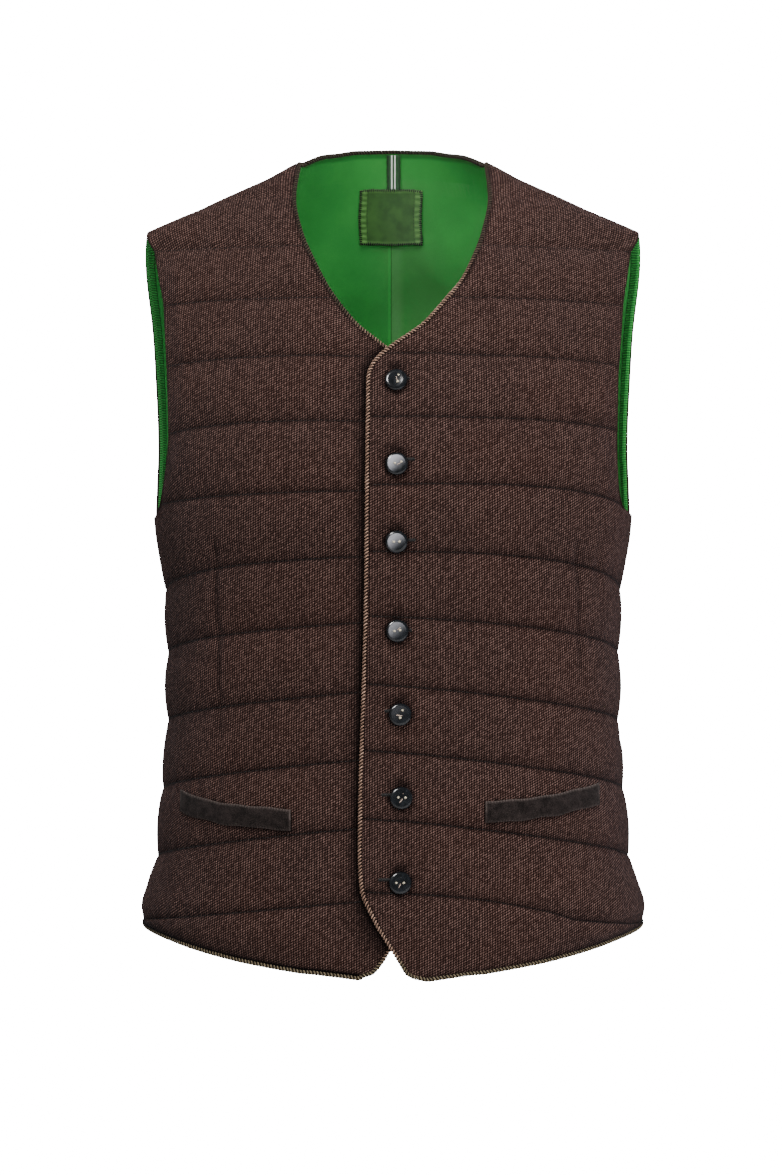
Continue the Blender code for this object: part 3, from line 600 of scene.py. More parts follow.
# %% [markdown]
# ## Rows and columns of a panel
# A panel is laid out in rows. Row 0 is the shoulder seam, rows 1 to 11 are the quilting lines and row 12
# is the hem; rows between them are fractions. Each row runs from the front edge, or the centre of the
# back, to the armhole or side seam, and its points are spaced along its real length, so that the cloth is
# neither squeezed nor stretched.

# %% Where the rows run
# row: height at the front edge, height at the armhole or side seam, how the droop is spread between them
LEFT_ROWS = {
    1: (-0.0395, -0.0405, 0.0), 2: (-0.0830, -0.0865, -1.2), 3: (-0.1300, -0.1360, -1.4),
    4: (-0.1805, -0.1880, -1.6), 5: (-0.2340, -0.2475, -1.8), 6: (-0.2856, -0.3193, -1.0),
    7: (-0.3365, -0.3688, -0.4), 8: (-0.3905, -0.4243, 0.0), 9: (-0.4432, -0.4798, 0.0),
    10: (-0.4970, -0.5350, 0.0), 11: (-0.5548, -0.5855, 0.6), 12: (-0.6228, -0.5870, 0.42),
}
RIGHT_ROWS = {
    1: (-0.0395, -0.0405, 0.0), 2: (-0.0830, -0.0865, -1.2), 3: (-0.1302, -0.1365, -1.4),
    4: (-0.1828, -0.1910, -1.6), 5: (-0.2375, -0.2475, -0.6), 6: (-0.2895, -0.3193, -0.8),
    7: (-0.3403, -0.3688, -0.3), 8: (-0.3942, -0.4243, 0.0), 9: (-0.4475, -0.4798, 0.0),
    10: (-0.5012, -0.5350, 0.0), 11: (-0.5585, -0.5855, 0.5), 12: (-0.6222, -0.5870, 0.42),
}
BACK_ROWS = {
    1: (-0.0500, -0.0480, 0.0), 2: (-0.1030, -0.1000, 0.0), 3: (-0.1570, -0.1520, 0.0),
    4: (-0.2110, -0.2040, 0.0), 5: (-0.2640, -0.2475, -0.4), 6: (-0.3210, -0.3193, 0.0),
    7: (-0.3730, -0.3688, 0.0), 8: (-0.4285, -0.4243, 0.0), 9: (-0.4840, -0.4798, 0.0),
    10: (-0.5400, -0.5350, 0.0), 11: (-0.5885, -0.5855, 0.0), 12: (-0.5995, -0.5870, 0.0),
}
HEM_ROW = 12
# how far a front's hem lies above the even run between its ends
HEM_BOW = Run(((0, 0), (0.10, -0.0006), (0.15, -0.0017), (0.29, -0.0019), (0.42, -0.0011), (0.53, 0.0),
               (0.66, 0.0013), (0.74, 0.0015), (0.88, 0.0008), (1, 0)))
# the same for the left front's last quilting line, which dips towards the side
LAST_LINE = 11
LEFT_LINE_BOW = Run(((0, 0), (0.20, 0.0035), (0.39, 0.0), (0.50, -0.0044), (0.74, -0.0040), (1, 0)))
ARMPIT_ROW = 5.15
MOST_CROWDING = 1.7         # how far columns may crowd towards the armhole
BACK_NECK_COLUMNS = 0.4     # share of the back's columns that end on the neckline

# neckline, front edge and hem corner: height, distance from the centre on the front's own side
FRONT_EDGE = (
    (0.0335, NECK_POINT_X), (0.003, 0.0813), (-0.0255, 0.0755), (-0.0651, 0.0567), (-0.1037, 0.0267),
    (-0.1254, -0.0022), (-0.1323, -0.0100), (-0.1391, -0.0150), (-0.1483, -0.0182), (-0.1636, -0.0185),
    (-0.2262, -0.0193), (-0.3244, -0.0203), (-0.5217, -0.0250), (-0.5525, -0.0235), (-0.5743, -0.0145),
)
LEFT_CORNER = (
    (-0.6015, 0.0018), (-0.6062, 0.0045), (-0.6114, 0.0075), (-0.6185, 0.0121), (-0.6210, 0.0175),
    (-0.6219, 0.0268),
)
RIGHT_CORNER = ((-0.6007, 0.0045), (-0.6068, 0.0078), (-0.6131, 0.0124), (-0.6188, 0.0182), (-0.6208, 0.0268))
left_edge_x = Run(reversed(FRONT_EDGE + LEFT_CORNER))
right_edge_x = Run(reversed(FRONT_EDGE + RIGHT_CORNER))
# the two sides aren't quite alike: how far each neckline lies further out than that, by height
left_neck_shift = Run((
    (-0.1391, 0), (-0.1122, 0.0012), (-0.0851, 0.0002), (-0.0690, 0.0014), (-0.0445, -0.0008),
    (-0.0235, -0.0022), (0.0035, -0.0030), (0.0335, 0),
))
right_neck_shift = Run((
    (-0.1391, 0), (-0.1230, 0.0060), (-0.1122, 0.0045), (-0.0851, 0.0030), (-0.0643, 0.0014),
    (-0.0445, -0.0004), (-0.0235, -0.0008), (0.0035, -0.0015), (0.0335, 0),
))
# armholes: row, turn round the body in degrees, where 90 is the side seam
LEFT_ARMHOLE = (
    (1, 62.6), (1.5, 60.5), (2, 59.3), (3, 59.3), (4, 61.9), (4.5, 63.9), (4.8, 66.0), (5, 69.6),
    (5.05, 73.0), (5.10, 79.5), (5.13, 85.0), (ARMPIT_ROW, 90.0),
)
RIGHT_ARMHOLE = (
    (1, 63.0), (1.5, 60.6), (2, 58.9), (3, 59.5), (4, 62.3), (4.5, 66.0), (4.8, 69.6), (5, 73.6),
    (5.05, 76.3), (5.10, 81.0), (5.13, 85.5), (ARMPIT_ROW, 90.0),
)
BACK_ARMHOLE = (
    (1, 70.3), (2, 69.2), (3, 71.2), (4, 76.2), (4.5, 79.8), (4.8, 82.3), (5, 85.0), (ARMPIT_ROW, 90.0),
)
back_neck_z = Run(((0.0, 0.0492), (0.030, 0.0477), (0.046, 0.0444), (0.058, 0.0418), (NECK_POINT_X, 0.0330)))


# %% Laying out a panel
def length_along(points):
    """How far along a line of points each of them lies."""
    return np.concatenate([[0.0], np.cumsum(np.linalg.norm(np.diff(points, axis=0), axis=1))])


def length_of(points):
    return float(np.linalg.norm(np.diff(points, axis=0), axis=1).sum())


def spaced(points, shares):
    """Points at the given shares of the length of a line of points."""
    length = length_along(points)
    return np.stack([np.interp(shares * length[-1], length, points[:, k]) for k in range(3)], axis=1)


class Panel:
    """One cloth panel's inner face, as rows of points. side is -1 for a front and +1 for half the back."""

    FINE = 240

    def __init__(self, side, rows, armhole, columns, edge=None, neck_shift=None, line_bow=None):
        self.side = side
        self.line_bow = line_bow
        self.edge = edge
        self.neck_shift = neck_shift
        self.lines = np.array([rows[1], *(rows[k] for k in range(1, HEM_ROW + 1))])
        self.armhole = Run(armhole)
        self.shares = np.linspace(0, 1, columns + 1)
        self.first = self.top_row()
        self.second = self.line_row(1.0)

    def edge_x(self, z):
        return self.edge(z) + self.neck_shift(z)

    def row_height(self, row, share):
        low = min(int(row), HEM_ROW - 1)
        ends = [lerp(inner, outer, share + spread * share * (1 - share))
                for inner, outer, spread in (self.lines[low], self.lines[low + 1])]
        bow = HEM_BOW(share) * max(0.0, row - HEM_ROW + 1) if self.side < 0 else 0.0
        if self.line_bow:
            bow = bow + self.line_bow(share) * max(0.0, 1 - abs(row - LAST_LINE))
        return lerp(ends[0], ends[1], row - low) + bow

    def arc(self, row, outer):
        share = np.linspace(0, 1, self.FINE + 1)
        z = self.row_height(row, share)
        inner = float(turn_of(self.edge_x(z[0]), z[0])) if self.side < 0 else 0.0
        x = x_of(lerp(inner, outer, share), z)
        return np.stack([x, form_y(x, z, self.side), z], axis=1)

    def line_row(self, row):
        """A row at or below the first quilting line. Its columns crowd where the armhole cuts it short."""
        outer = math.radians(90.0 if row >= ARMPIT_ROW else float(self.armhole(row)))
        points = self.arc(row, outer)
        crowding = min(length_of(self.arc(row, math.radians(90.0))) / length_of(points), MOST_CROWDING)
        return spaced(points, crowding * self.shares - (crowding - 1) * self.shares**2)

    def top_row(self):
        """The shoulder seam, and on the back the neckline before it."""
        x = np.linspace(NECK_POINT_X, TIP_X, self.FINE + 1)
        ridge = np.stack([x, np.full_like(x, RIDGE_Y), ridge_height(x, -1)], axis=1)
        if self.side < 0:
            return spaced(ridge, self.shares)
        x = NECK_POINT_X * np.sin(np.linspace(0, math.pi / 2, self.FINE + 1))
        z = back_neck_z(x)
        neck = np.stack([x, form_y(x, z, self.side), z], axis=1)
        columns = len(self.shares) - 1
        neck_columns = round(columns * BACK_NECK_COLUMNS)
        return np.concatenate([
            spaced(neck, np.linspace(0, 1, neck_columns + 1))[:-1],
            spaced(ridge, np.linspace(0, 1, columns - neck_columns + 1)),
        ])

    def shoulder_row(self, row):
        x = lerp(self.first[:, 0], self.second[:, 0], row)
        z = lerp(self.first[:, 2], self.second[:, 2], row**RIDGE_SPREAD)
        tip_round = FRONT_TIP_ROUND if self.side < 0 else BACK_TIP_ROUND
        x = x + tip_round * math.sin(math.pi * row**0.9) * self.shares**6
        if self.side < 0:
            x = x + (self.edge_x(z) - x[0]) * (1 - self.shares) ** 2
        return np.stack([x, form_y(x, z, self.side), z], axis=1)

    def row(self, row):
        if row <= 0:
            return self.first
        return self.shoulder_row(row) if row < 1 else self.line_row(row)

    def grid(self, numbers):
        return np.array([self.row(r) for r in numbers])


# %% [markdown]
# ## Padding, creases and seams
# Quilting holds the padding down in lines and lets it stand up between them. The rise between two lines
# follows a sine with a flattened crown. That alone looks machined, so three things break it: small puckers
# that die away from each line, long soft creases placed one by one where the body pulls the cloth, and a
# dimple under each button. Darts are sewn in as narrow grooves.

# %% Heights over the inner face
SEAM_WALL = 0.0022          # cloth and padding where a quilting line is stitched
PUFF = 0.0034               # how far a channel's crown stands above its lines
EDGE_PUFF = 0.30            # share of the puff left at a free edge or seam
EDGE_FADE = 0.018
CHANNEL = 0.056             # one quilted channel, measured along the cloth
PUCKER = 0.00036
PUCKER_REACH = 0.011
PUCKER_START = 0.0015       # the stitches hold the cloth flat this near to a line
MOST_CREASE = 0.0016
OVERLAP_LIFT = 0.0031       # the fronts part by twice this where they lap
OVERLAP_FLAT = 0.030
OVERLAP_END = 0.060
OVERLAP_PUFF = 0.55
# how much shade is painted along each quilting line, from the first below the shoulder to the last above the
# hem
LINE_STRENGTH = np.array([0.30, 0.60, 0.75, 0.85, 0.95, 1.0, 1.0, 1.05, 1.1, 1.1, 1.1])

# soft troughs (+) and ridges (-): x, z, lean in degrees, half length, half width, depth
LEFT_CREASES = (
    (0.150, -0.286, -24, 0.036, 0.0050, 0.0011), (0.118, -0.206, -16, 0.050, 0.0070, 0.0009),
    (0.060, -0.182, 8, 0.034, 0.0060, 0.0007), (0.096, -0.384, -6, 0.060, 0.0080, 0.0009),
    (0.164, -0.440, 14, 0.026, 0.0050, 0.0010), (0.052, -0.448, -13, 0.034, 0.0060, 0.0008),
    (0.128, -0.556, -8, 0.060, 0.0075, 0.0010), (0.070, -0.588, 4, 0.040, 0.0060, 0.0007),
    (0.148, -0.110, -34, 0.044, 0.0080, 0.0011), (0.104, -0.070, -18, 0.040, 0.0070, 0.0008),
    (0.036, -0.260, -70, 0.026, 0.0050, 0.0006), (0.040, -0.395, 76, 0.024, 0.0050, 0.0007),
)
RIGHT_CREASES = (
    (0.146, -0.292, -27, 0.040, 0.0055, 0.0012), (0.110, -0.214, -12, 0.056, 0.0070, 0.0008),
    (0.052, -0.224, 6, 0.030, 0.0060, 0.0007), (0.160, -0.372, 9, 0.034, 0.0055, 0.0010),
    (0.084, -0.410, -9, 0.060, 0.0080, 0.0009), (0.150, -0.548, -7, 0.048, 0.0060, 0.0011),
    (0.074, -0.566, -12, 0.044, 0.0065, 0.0008), (0.052, -0.484, 70, 0.028, 0.0050, 0.0006),
    (0.146, -0.120, -38, 0.040, 0.0080, 0.0012), (0.100, -0.086, -14, 0.046, 0.0075, 0.0007),
)
BACK_CREASES = (
    (-0.120, -0.150, 24, 0.060, 0.0085, 0.0012), (0.128, -0.162, -21, 0.056, 0.0080, 0.0011),
    (-0.070, -0.395, 7, 0.070, 0.0090, 0.0012), (0.062, -0.402, -11, 0.064, 0.0080, 0.0011),
    (0.004, -0.436, 2, 0.050, 0.0075, 0.0009), (-0.150, -0.330, -22, 0.040, 0.0065, 0.0011),
    (0.152, -0.345, 26, 0.038, 0.0060, 0.0012), (-0.090, -0.520, -9, 0.052, 0.0080, 0.0009),
    (0.100, -0.545, 12, 0.048, 0.0070, 0.0010), (0.030, -0.092, -6, 0.056, 0.0090, 0.0009),
    (-0.050, -0.230, 10, 0.050, 0.0080, 0.0007),
)
# sewn grooves as upright seams: x and z of the top end, x and z of the bottom end, depth
LEFT_DARTS = ((0.1440, -0.268, 0.1470, -0.392, 0.0008),)
RIGHT_DARTS = ((0.1395, -0.262, 0.1345, -0.444, 0.0009),)
BACK_DARTS = ((-0.094, -0.250, -0.088, -0.520, 0.0009), (0.094, -0.250, 0.088, -0.520, 0.0009))
DART_WIDTH = 0.0016
DART_END = 0.15             # share of a dart over which it runs out at each end


def lap_share(x):
    """1 inside the lap of the fronts, 0 clear of it; x is measured towards the front's own side."""
    return 1 - smooth((x - OVERLAP_FLAT) / (OVERLAP_END - OVERLAP_FLAT))


def crease_depth(points, creases):
    total = np.zeros(points.shape[:2])
    for x, z, lean, length, width, depth in creases:
        dx = points[..., 0] - x
        dz = points[..., 2] - z
        turn = math.radians(lean)
        along = dx * math.cos(turn) + dz * math.sin(turn)
        bend = 0.25 * along**2 / length
        across = dz * math.cos(turn) - dx * math.sin(turn) + bend
        total += depth * np.exp(-(across / width) ** 2 - (along / length) ** 4)
    return total


def dart_depth(points, darts):
    total = np.zeros(points.shape[:2])
    for x0, z0, x1, z1, depth in darts:
        share = (points[..., 2] - z0) / (z1 - z0)
        across = points[..., 0] - lerp(x0, x1, share)
        ends = smooth(share / DART_END) * smooth((1 - share) / DART_END)
        total += depth * ends * np.exp(-(across / DART_WIDTH) ** 2)
    return total


def puckers(phase, across, line, seed):
    """Small gathers along each quilting line, with their own lengths and phases line by line."""
    dice = np.random.default_rng(seed)
    near = np.minimum(phase, 1 - phase) * CHANNEL
    total = np.zeros_like(across)
    for k in range(HEM_ROW + 1):
        waves = sum(dice.uniform(0.4, 1.0) * np.sin(across * math.tau / length + dice.uniform(0, math.tau))
                    for length in dice.uniform(0.007, 0.030, 5))
        total += np.where(line == k, waves, 0.0)
    return PUCKER * total * np.exp(-near / PUCKER_REACH) * (1 - np.exp(-near / PUCKER_START))


print("creases:", len(LEFT_CREASES) + len(RIGHT_CREASES) + len(BACK_CREASES))

# %% [markdown]
# ## From points to closed cloth
# The face that is seen is fine, a point every two millimetres, and the plain face behind it needs only
# some of its rows and columns. One function closes such a pair: it lays both faces and joins them along
# the rim with faces that take in all the fine points between two coarse ones. Each point carries its place
# on the cloth in metres as a UV, so that the knit runs straight down the panel.

# %% A closed cloth from two faces
def carry(mesh, label, values):
    """Gives a mesh a number at each of its points."""
    mesh.attributes.new(label, "FLOAT", "POINT").data.foreach_set("value", np.array(values, float).ravel())


SHARP_ANGLE = math.radians(55)      # edges that turn more than this are shaded sharp


def every(count, step):
    """Indices 0 to count - 1 in steps, with the last one always in."""
    return sorted({*range(0, count, step), count - 1})


def closed_cloth(name, outer, inner, step, uv, turned, finish, values=None):
    """An object from a fine outer grid and, of an inner grid like it, only every few rows and columns."""
    high, wide = outer.shape[:2]
    rows, columns = every(high, step), every(wide, step)
    base, span = high * wide, len(columns)
    faces = []
    for i in range(high - 1):
        for j in range(wide - 1):
            k = i * wide + j
            faces.append((k, k + wide, k + wide + 1, k + 1))
    for a in range(len(rows) - 1):
        for b in range(span - 1):
            k = base + a * span + b
            faces.append((k, k + 1, k + span + 1, k + span))
    last = base + (len(rows) - 1) * span
    for b in range(span - 1):
        fine = range(columns[b], columns[b + 1] + 1)
        faces.append((*fine, base + b + 1, base + b))
        foot = [(high - 1) * wide + j for j in reversed(fine)]
        faces.append((*foot, last + b, last + b + 1))
    for a in range(len(rows) - 1):
        fine = range(rows[a], rows[a + 1] + 1)
        k = base + a * span
        faces.append((*(i * wide for i in reversed(fine)), k, k + span))
        faces.append((*(i * wide + wide - 1 for i in fine), k + 2 * span - 1, k + span - 1))
    if turned:
        faces = [f[::-1] for f in faces]
    picks = np.ix_(rows, columns)

    def both(grid):
        return np.concatenate([grid.reshape(base, -1), grid[picks].reshape(len(rows) * span, -1)])

    mesh = bpy.data.meshes.new(name)
    points = np.concatenate([outer.reshape(-1, 3), inner[picks].reshape(-1, 3)])
    mesh.from_pydata(points.tolist(), [], faces)
    corner = np.empty(len(mesh.loops), np.int32)
    mesh.loops.foreach_get("vertex_index", corner)
    mesh.uv_layers.new(name="cloth").data.foreach_set("uv", both(uv)[corner].ravel())
    for label, grid in (values or {}).items():
        carry(mesh, label, both(grid))
    mesh.shade_smooth()
    mesh.set_sharp_from_angle(angle=SHARP_ANGLE)
    mesh.materials.append(finish.material)
    return added(name, mesh)


def area_of(grid):
    """Area of a grid of points, in square metres."""
    a = grid[1:, :-1] - grid[:-1, :-1]
    b = grid[:-1, 1:] - grid[:-1, :-1]
    c = grid[1:, :-1] - grid[1:, 1:]
    d = grid[:-1, 1:] - grid[1:, 1:]
    halves = np.linalg.norm(np.cross(a, b), axis=-1) + np.linalg.norm(np.cross(c, d), axis=-1)
    return float(halves.sum() / 2)


def settle(piece, slot_name, *nodes):
    """A finished piece rides on the vest and stands for its CAD nodes, which it hides. slot_name is not used.
    """
    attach(piece, "root")
    if nodes:
        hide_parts(*nodes)
    return piece


def cut(piece, grid):
    """Prints the flat size of a cloth's cut: its longest row and column, and the area between them."""
    wide = max(length_of(line) for line in grid)
    long = max(length_of(line) for line in grid.transpose(1, 0, 2))
    area = min(area_of(grid), wide * long)
    print(f"{piece.name}: cut {wide * 1000:.0f} x {long * 1000:.0f} mm, {area * 1e4:.0f} square cm")


# %% [markdown]
# ## The quilted panels
# Now the three panels are laid out. For each, the grid of the inner face gives everything else: the puff
# from the row numbers, the knit's UV from the lengths along and down the form, and the distance from the
# edges, where the padding thins out.

# %% Fine rows
CHANNEL_STEPS = 20
ARMPIT_STEPS = 13           # rows between the fifth line and the armhole's foot
FRONT_COLUMNS = 108
BACK_COLUMNS = 208
SEAM_GAP = 0.0002           # each wall stops this far short of the shoulder and side seams
BACKING_GAP = 0.0008        # the padding's underside stands this far off the inner face
ON_SEAM = 1e-6              # points this near to a seam's plane lie on the seam
# reach of the shade above a quilting line and below it, and of the stitched line itself
SHADE_ABOVE, SHADE_BELOW, LINE_REACH = 0.0055, 0.0016, 0.0012


def fine_rows():
    """Row numbers, closer together at the quilting lines and at the armhole's foot."""
    even = np.arange(CHANNEL_STEPS) / CHANNEL_STEPS
    crowded = 0.5 - 0.5 * np.cos(math.pi * even)
    phases = 0.55 * even + 0.45 * crowded
    rows = np.concatenate([*(k + phases for k in range(HEM_ROW)), [HEM_ROW]])
    foot = np.linspace(5.0, ARMPIT_ROW, ARMPIT_STEPS)
    rows = rows[(rows <= 5.0) | (rows >= ARMPIT_ROW + 0.01)]
    return np.unique(np.concatenate([rows, foot]).round(6))


def seam_normals(grid, numbers, side):
    """The form's normals, but within the seam's plane on shoulder and side seams, where two walls meet."""
    normals = form_normal(grid, side)
    along = np.gradient(grid[0], axis=0)
    on_ridge = np.abs(grid[0, :, 1] - RIDGE_Y) < ON_SEAM
    up = np.stack([-along[:, 2], 0 * along[:, 0], along[:, 0]], axis=1)
    up = up * np.sign(up[:, 2:]) / np.linalg.norm(up, axis=1, keepdims=True)
    normals[0, on_ridge] = up[on_ridge]
    for j in (0, -1):
        on_side = (numbers >= ARMPIT_ROW) & (np.abs(grid[:, j, 1]) < ON_SEAM)
        flat = normals[on_side, j] * (1, 0, 1)
        normals[on_side, j] = flat / np.linalg.norm(flat, axis=1, keepdims=True)
    return normals


class Quilt:
    """A quilted panel: its grids, the knit's place on it and the shade painted on it at each point."""

    def __init__(self, grid, numbers, side, own, creases, darts, seed):
        """side: -1 in front, +1 behind; own: +1 for the left front, -1 for the right one, 0 for the back."""
        self.numbers, self.own = numbers, own
        self.normals = seam_normals(grid, numbers, side)
        y = grid[..., 1:2]
        on_seam = (np.abs(y - RIDGE_Y) < ON_SEAM) | (np.abs(y) < ON_SEAM)
        grid = grid + side * SEAM_GAP * on_seam * (0, 1, 0)
        self.uv = self.cloth_place(grid, side)
        rim = [np.linalg.norm(grid - grid[[k]], axis=2) for k in (0, -1)]
        rim += [np.linalg.norm(grid - grid[:, [k]], axis=2) for k in (0, -1)]
        row = numbers[:, None] + 0 * grid[..., 0]
        phase = self.channel_phase(grid, row)
        fade = lerp(EDGE_PUFF, 1.0, smooth(np.min(rim, axis=0) / EDGE_FADE))
        if own:
            fade = fade * lerp(1.0, OVERLAP_PUFF, lap_share(grid[..., 0] * own))
        crown = np.sin(math.pi * phase)
        groove = dart_depth(grid, darts)
        height = PUFF * crown**0.75 * fade
        height += puckers(phase, self.uv[..., 0], np.round(row), seed) * fade
        height -= np.minimum(crease_depth(grid, creases), MOST_CREASE) * crown**0.5 * fade
        height -= groove * fade
        self.line = self.painted_shade(grid, row, phase, rim, groove)
        if own:
            grid = grid + self.normals * (OVERLAP_LIFT * own * lap_share(grid[..., 0:1] * own))
        self.inner = grid
        self.outer = grid + self.normals * (SEAM_WALL + height)[..., None]

    def channel_phase(self, grid, row):
        """0 and 1 on the quilting lines, between them the share of a channel; above the first, by length."""
        steps = np.linalg.norm(np.diff(grid, axis=0), axis=2)
        down = np.concatenate([0 * grid[:1, :, 0], np.cumsum(steps, axis=0)])
        first = int(np.searchsorted(self.numbers, 1.0))
        phase = np.where(row < 1, 1 - (down[first] - down) / CHANNEL, row)
        return phase - np.floor(phase)

    def painted_shade(self, grid, row, phase, rim, groove):
        """Painted shade of quilting lines, darts, the hem and the front edge, which the knit's material
        reads.
        """
        near = np.minimum(phase, 1 - phase) * CHANNEL
        strength = LINE_STRENGTH[np.clip(np.round(row), 1, LAST_LINE).astype(int) - 1]
        strength = strength * (row > 0.8) * (row < LAST_LINE + 0.5)
        # painted shade along each quilting line: its crease, and the puff above and below it
        under = np.exp(-(near / np.where(phase > 0.5, SHADE_ABOVE, SHADE_BELOW)) ** 1.5)
        line = strength * (0.52 * np.exp(-(near / LINE_REACH) ** 2) + 0.42 * under)
        # painted shade in the dart grooves
        line = np.maximum(line, 0.6 * groove / 0.0009)
        # painted shade in a band above the hem
        at_hem = 1.18 * np.exp(-(rim[1] / 0.0072) ** 2.6) + 0.16 * np.exp(-(rim[1] / 0.026) ** 2)
        line = np.maximum(line, at_hem)
        # painted shade beside the front edge, wider near the neck
        if self.own:
            beside_neck = smooth((grid[..., 2] + 0.150) / 0.030)
            reach = lerp(0.0011, 0.0024, beside_neck)
            line = np.maximum(line, lerp(0.8, 1.0, beside_neck) * np.exp(-(rim[2] / reach) ** 2))
        return line

    @staticmethod
    def cloth_place(grid, side):
        """Metres across from the centre line and down from the shoulder, for every point."""
        level = np.linalg.norm(np.diff(grid[..., :2], axis=1), axis=2)
        across = np.concatenate([0 * grid[:, :1, 0], np.cumsum(level, axis=1)], axis=1)
        start = np.empty(len(grid))
        for i, first in enumerate(grid[:, 0]):
            x = np.linspace(0, first[0], 64)
            y = form_y(x, np.full(64, first[2]), side)
            start[i] = np.copysign(np.hypot(np.diff(x), np.diff(y)).sum(), first[0])
        turned = np.sign(grid[-1, -1, 0] - grid[-1, 0, 0])
        z = np.linspace(0.06, -0.66, 721)
        y = form_y(np.full_like(z, 0.1), z, side)
        depth = np.concatenate([[0], np.cumsum(np.hypot(np.diff(z), np.diff(y)))])
        down = np.interp(-grid[..., 2], -z, depth)
        return np.stack([start[:, None] + turned * across, down], axis=2)

    def cloth(self, name, node, turned):
        """The quilted shell that stands for the CAD wall."""
        backing = self.inner + self.normals * BACKING_GAP
        values = {"line": self.line}
        piece = closed_cloth(name, self.outer, backing, 6, self.uv, turned, brown_knit, values)
        return settle(piece, "brown_knit", node)


# %% Three quilted panels
BUTTON_PULL = 0.0010
PULL_REACH = 0.013
PLEATS = 0.00025            # depth of the seven small pleats that run out from each button


def button_places():
    """Middle and facing of every CAD button: its thinnest direction, turned to the front."""
    places = []
    for k in range(1, 8):
        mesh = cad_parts[f"button_{k}"].data
        points = np.array([v.co for v in mesh.vertices])
        middle = (points.min(axis=0) + points.max(axis=0)) / 2
        facing = np.linalg.svd(points - points.mean(axis=0))[2][2]
        places.append((middle, facing * -np.sign(facing[1])))
    return places


def mirrored(creases, darts):
    """The right front's creases and darts, which are written as if it lay on the left."""
    return ([(-x, z, -lean, *rest) for x, z, lean, *rest in creases],
            [(-x0, z0, -x1, z1, depth) for x0, z0, x1, z1, depth in darts])


numbers = fine_rows()
left_panel = Panel(-1, LEFT_ROWS, LEFT_ARMHOLE, FRONT_COLUMNS, left_edge_x, left_neck_shift, LEFT_LINE_BOW)
right_panel = Panel(-1, RIGHT_ROWS, RIGHT_ARMHOLE, FRONT_COLUMNS, right_edge_x, right_neck_shift)
half_back = Panel(1, BACK_ROWS, BACK_ARMHOLE, BACK_COLUMNS // 2).grid(numbers)
whole_back = np.concatenate([half_back[:, :0:-1] * (-1, 1, 1), half_back], axis=1)
left = Quilt(left_panel.grid(numbers), numbers, -1, 1, LEFT_CREASES, LEFT_DARTS, 11)
right = Quilt(right_panel.grid(numbers) * (-1, 1, 1), numbers, -1, -1,
              *mirrored(RIGHT_CREASES, RIGHT_DARTS), 23)
back = Quilt(whole_back, numbers, 1, 0, BACK_CREASES, BACK_DARTS, 37)
print("points on each panel:", [q.outer.shape[:2] for q in (left, right, back)])

# %% [markdown]
# ## What buttons, welts and the lap do to the fronts
# A button that is sewn through padding pulls a dimple with small pleats round it. And the knit is darkest
# where other pieces lie on it: above and round each button, along the foot of each welt, and on the lower
# front beside the edge of the upper one. Lamps alone leave such narrow shades too weak, so every point
# carries how dark it is, and the knit's material reads that.

# %% Dimples and shades
LAP_ROW = 2.6               # the fronts lap from this row down
LAP_REACH = (0.0060, 0.0150)    # reach of the shade beside the lap's edge, above and at the hem
LAP_GAP = 0.0030            # it is darkest up to this distance
LAP_TURN = (-0.545, 0.045)  # height at which the reach starts to grow, and over how much it does
WELT_HEIGHT = 0.0170
# x and z of the top edge at the inner end, the same at the outer end, sag, where along it the sag is deepest
WELTS = {
    "right": ((-0.0809, -0.4902), (-0.1701, -0.4770), 0.0036, 0.64),
    "left": ((0.0730, -0.4835), (0.1649, -0.4714), 0.0026, 0.50),
}
WELT_SHADE = 0.0016         # reach of the shade under a welt


def pull_of_button(quilt, middle):
    """A button pulls the cloth in and in pleats round itself, and paints shade on it above and round its rim.
    """
    away = np.linalg.norm(quilt.outer - middle, axis=2)
    pull = BUTTON_PULL * np.exp(-(away / PULL_REACH) ** 2)
    turn = np.arctan2(quilt.outer[..., 2] - middle[2], quilt.outer[..., 0] - middle[0])
    pull += PLEATS * np.exp(-((away - PULL_REACH) / 0.007) ** 2) * np.cos(7 * turn + middle[2] * 90)
    quilt.outer -= quilt.normals * pull[..., None]
    aside, above = quilt.outer[..., 0] - middle[0], quilt.outer[..., 2] - middle[2]
    # painted shade above the button and round its rim
    shade = 0.75 * np.exp(-(aside / 0.009) ** 2 - ((above - 0.0115) / 0.0042) ** 2)
    shade = np.maximum(shade, 0.95 * np.exp(-((away - 0.0098) / 0.0016) ** 2))
    quilt.line = np.maximum(quilt.line, shade)


def shade_of_welt(quilt, inner, outer, sag):
    """Paints shade on the knit along the foot of a welt, most at its inner end."""
    x, z = quilt.outer[..., 0], quilt.outer[..., 2]
    share = (x - inner[0]) / (outer[0] - inner[0])
    foot = lerp(inner[1], outer[1], share) - WELT_HEIGHT - sag * np.sin(math.pi * np.clip(share, 0, 1))
    under = np.exp(-(np.maximum(foot - z, 0) / WELT_SHADE) ** 1.5) * (z < foot + WELT_HEIGHT)
    under = 1.05 * under * (share > -0.012) * (share < 1.0) * lerp(1.0, 0.5, share)
    quilt.line = np.maximum(quilt.line, under)


def shade_of_lap(under, over):
    """Paints shade on the lower front beside the edge of the upper one, and more widely so at the hem."""
    away = np.full(under.line.shape, 1.0)
    for place in over.inner[numbers > LAP_ROW, 0]:
        away = np.minimum(away, np.hypot(under.inner[..., 0] - place[0], under.inner[..., 2] - place[2]))
    reach = lerp(*LAP_REACH, smooth((LAP_TURN[0] - under.inner[..., 2]) / LAP_TURN[1]))
    under.line = np.maximum(under.line, np.exp(-(np.maximum(away - LAP_GAP, 0) / reach) ** 1.6))


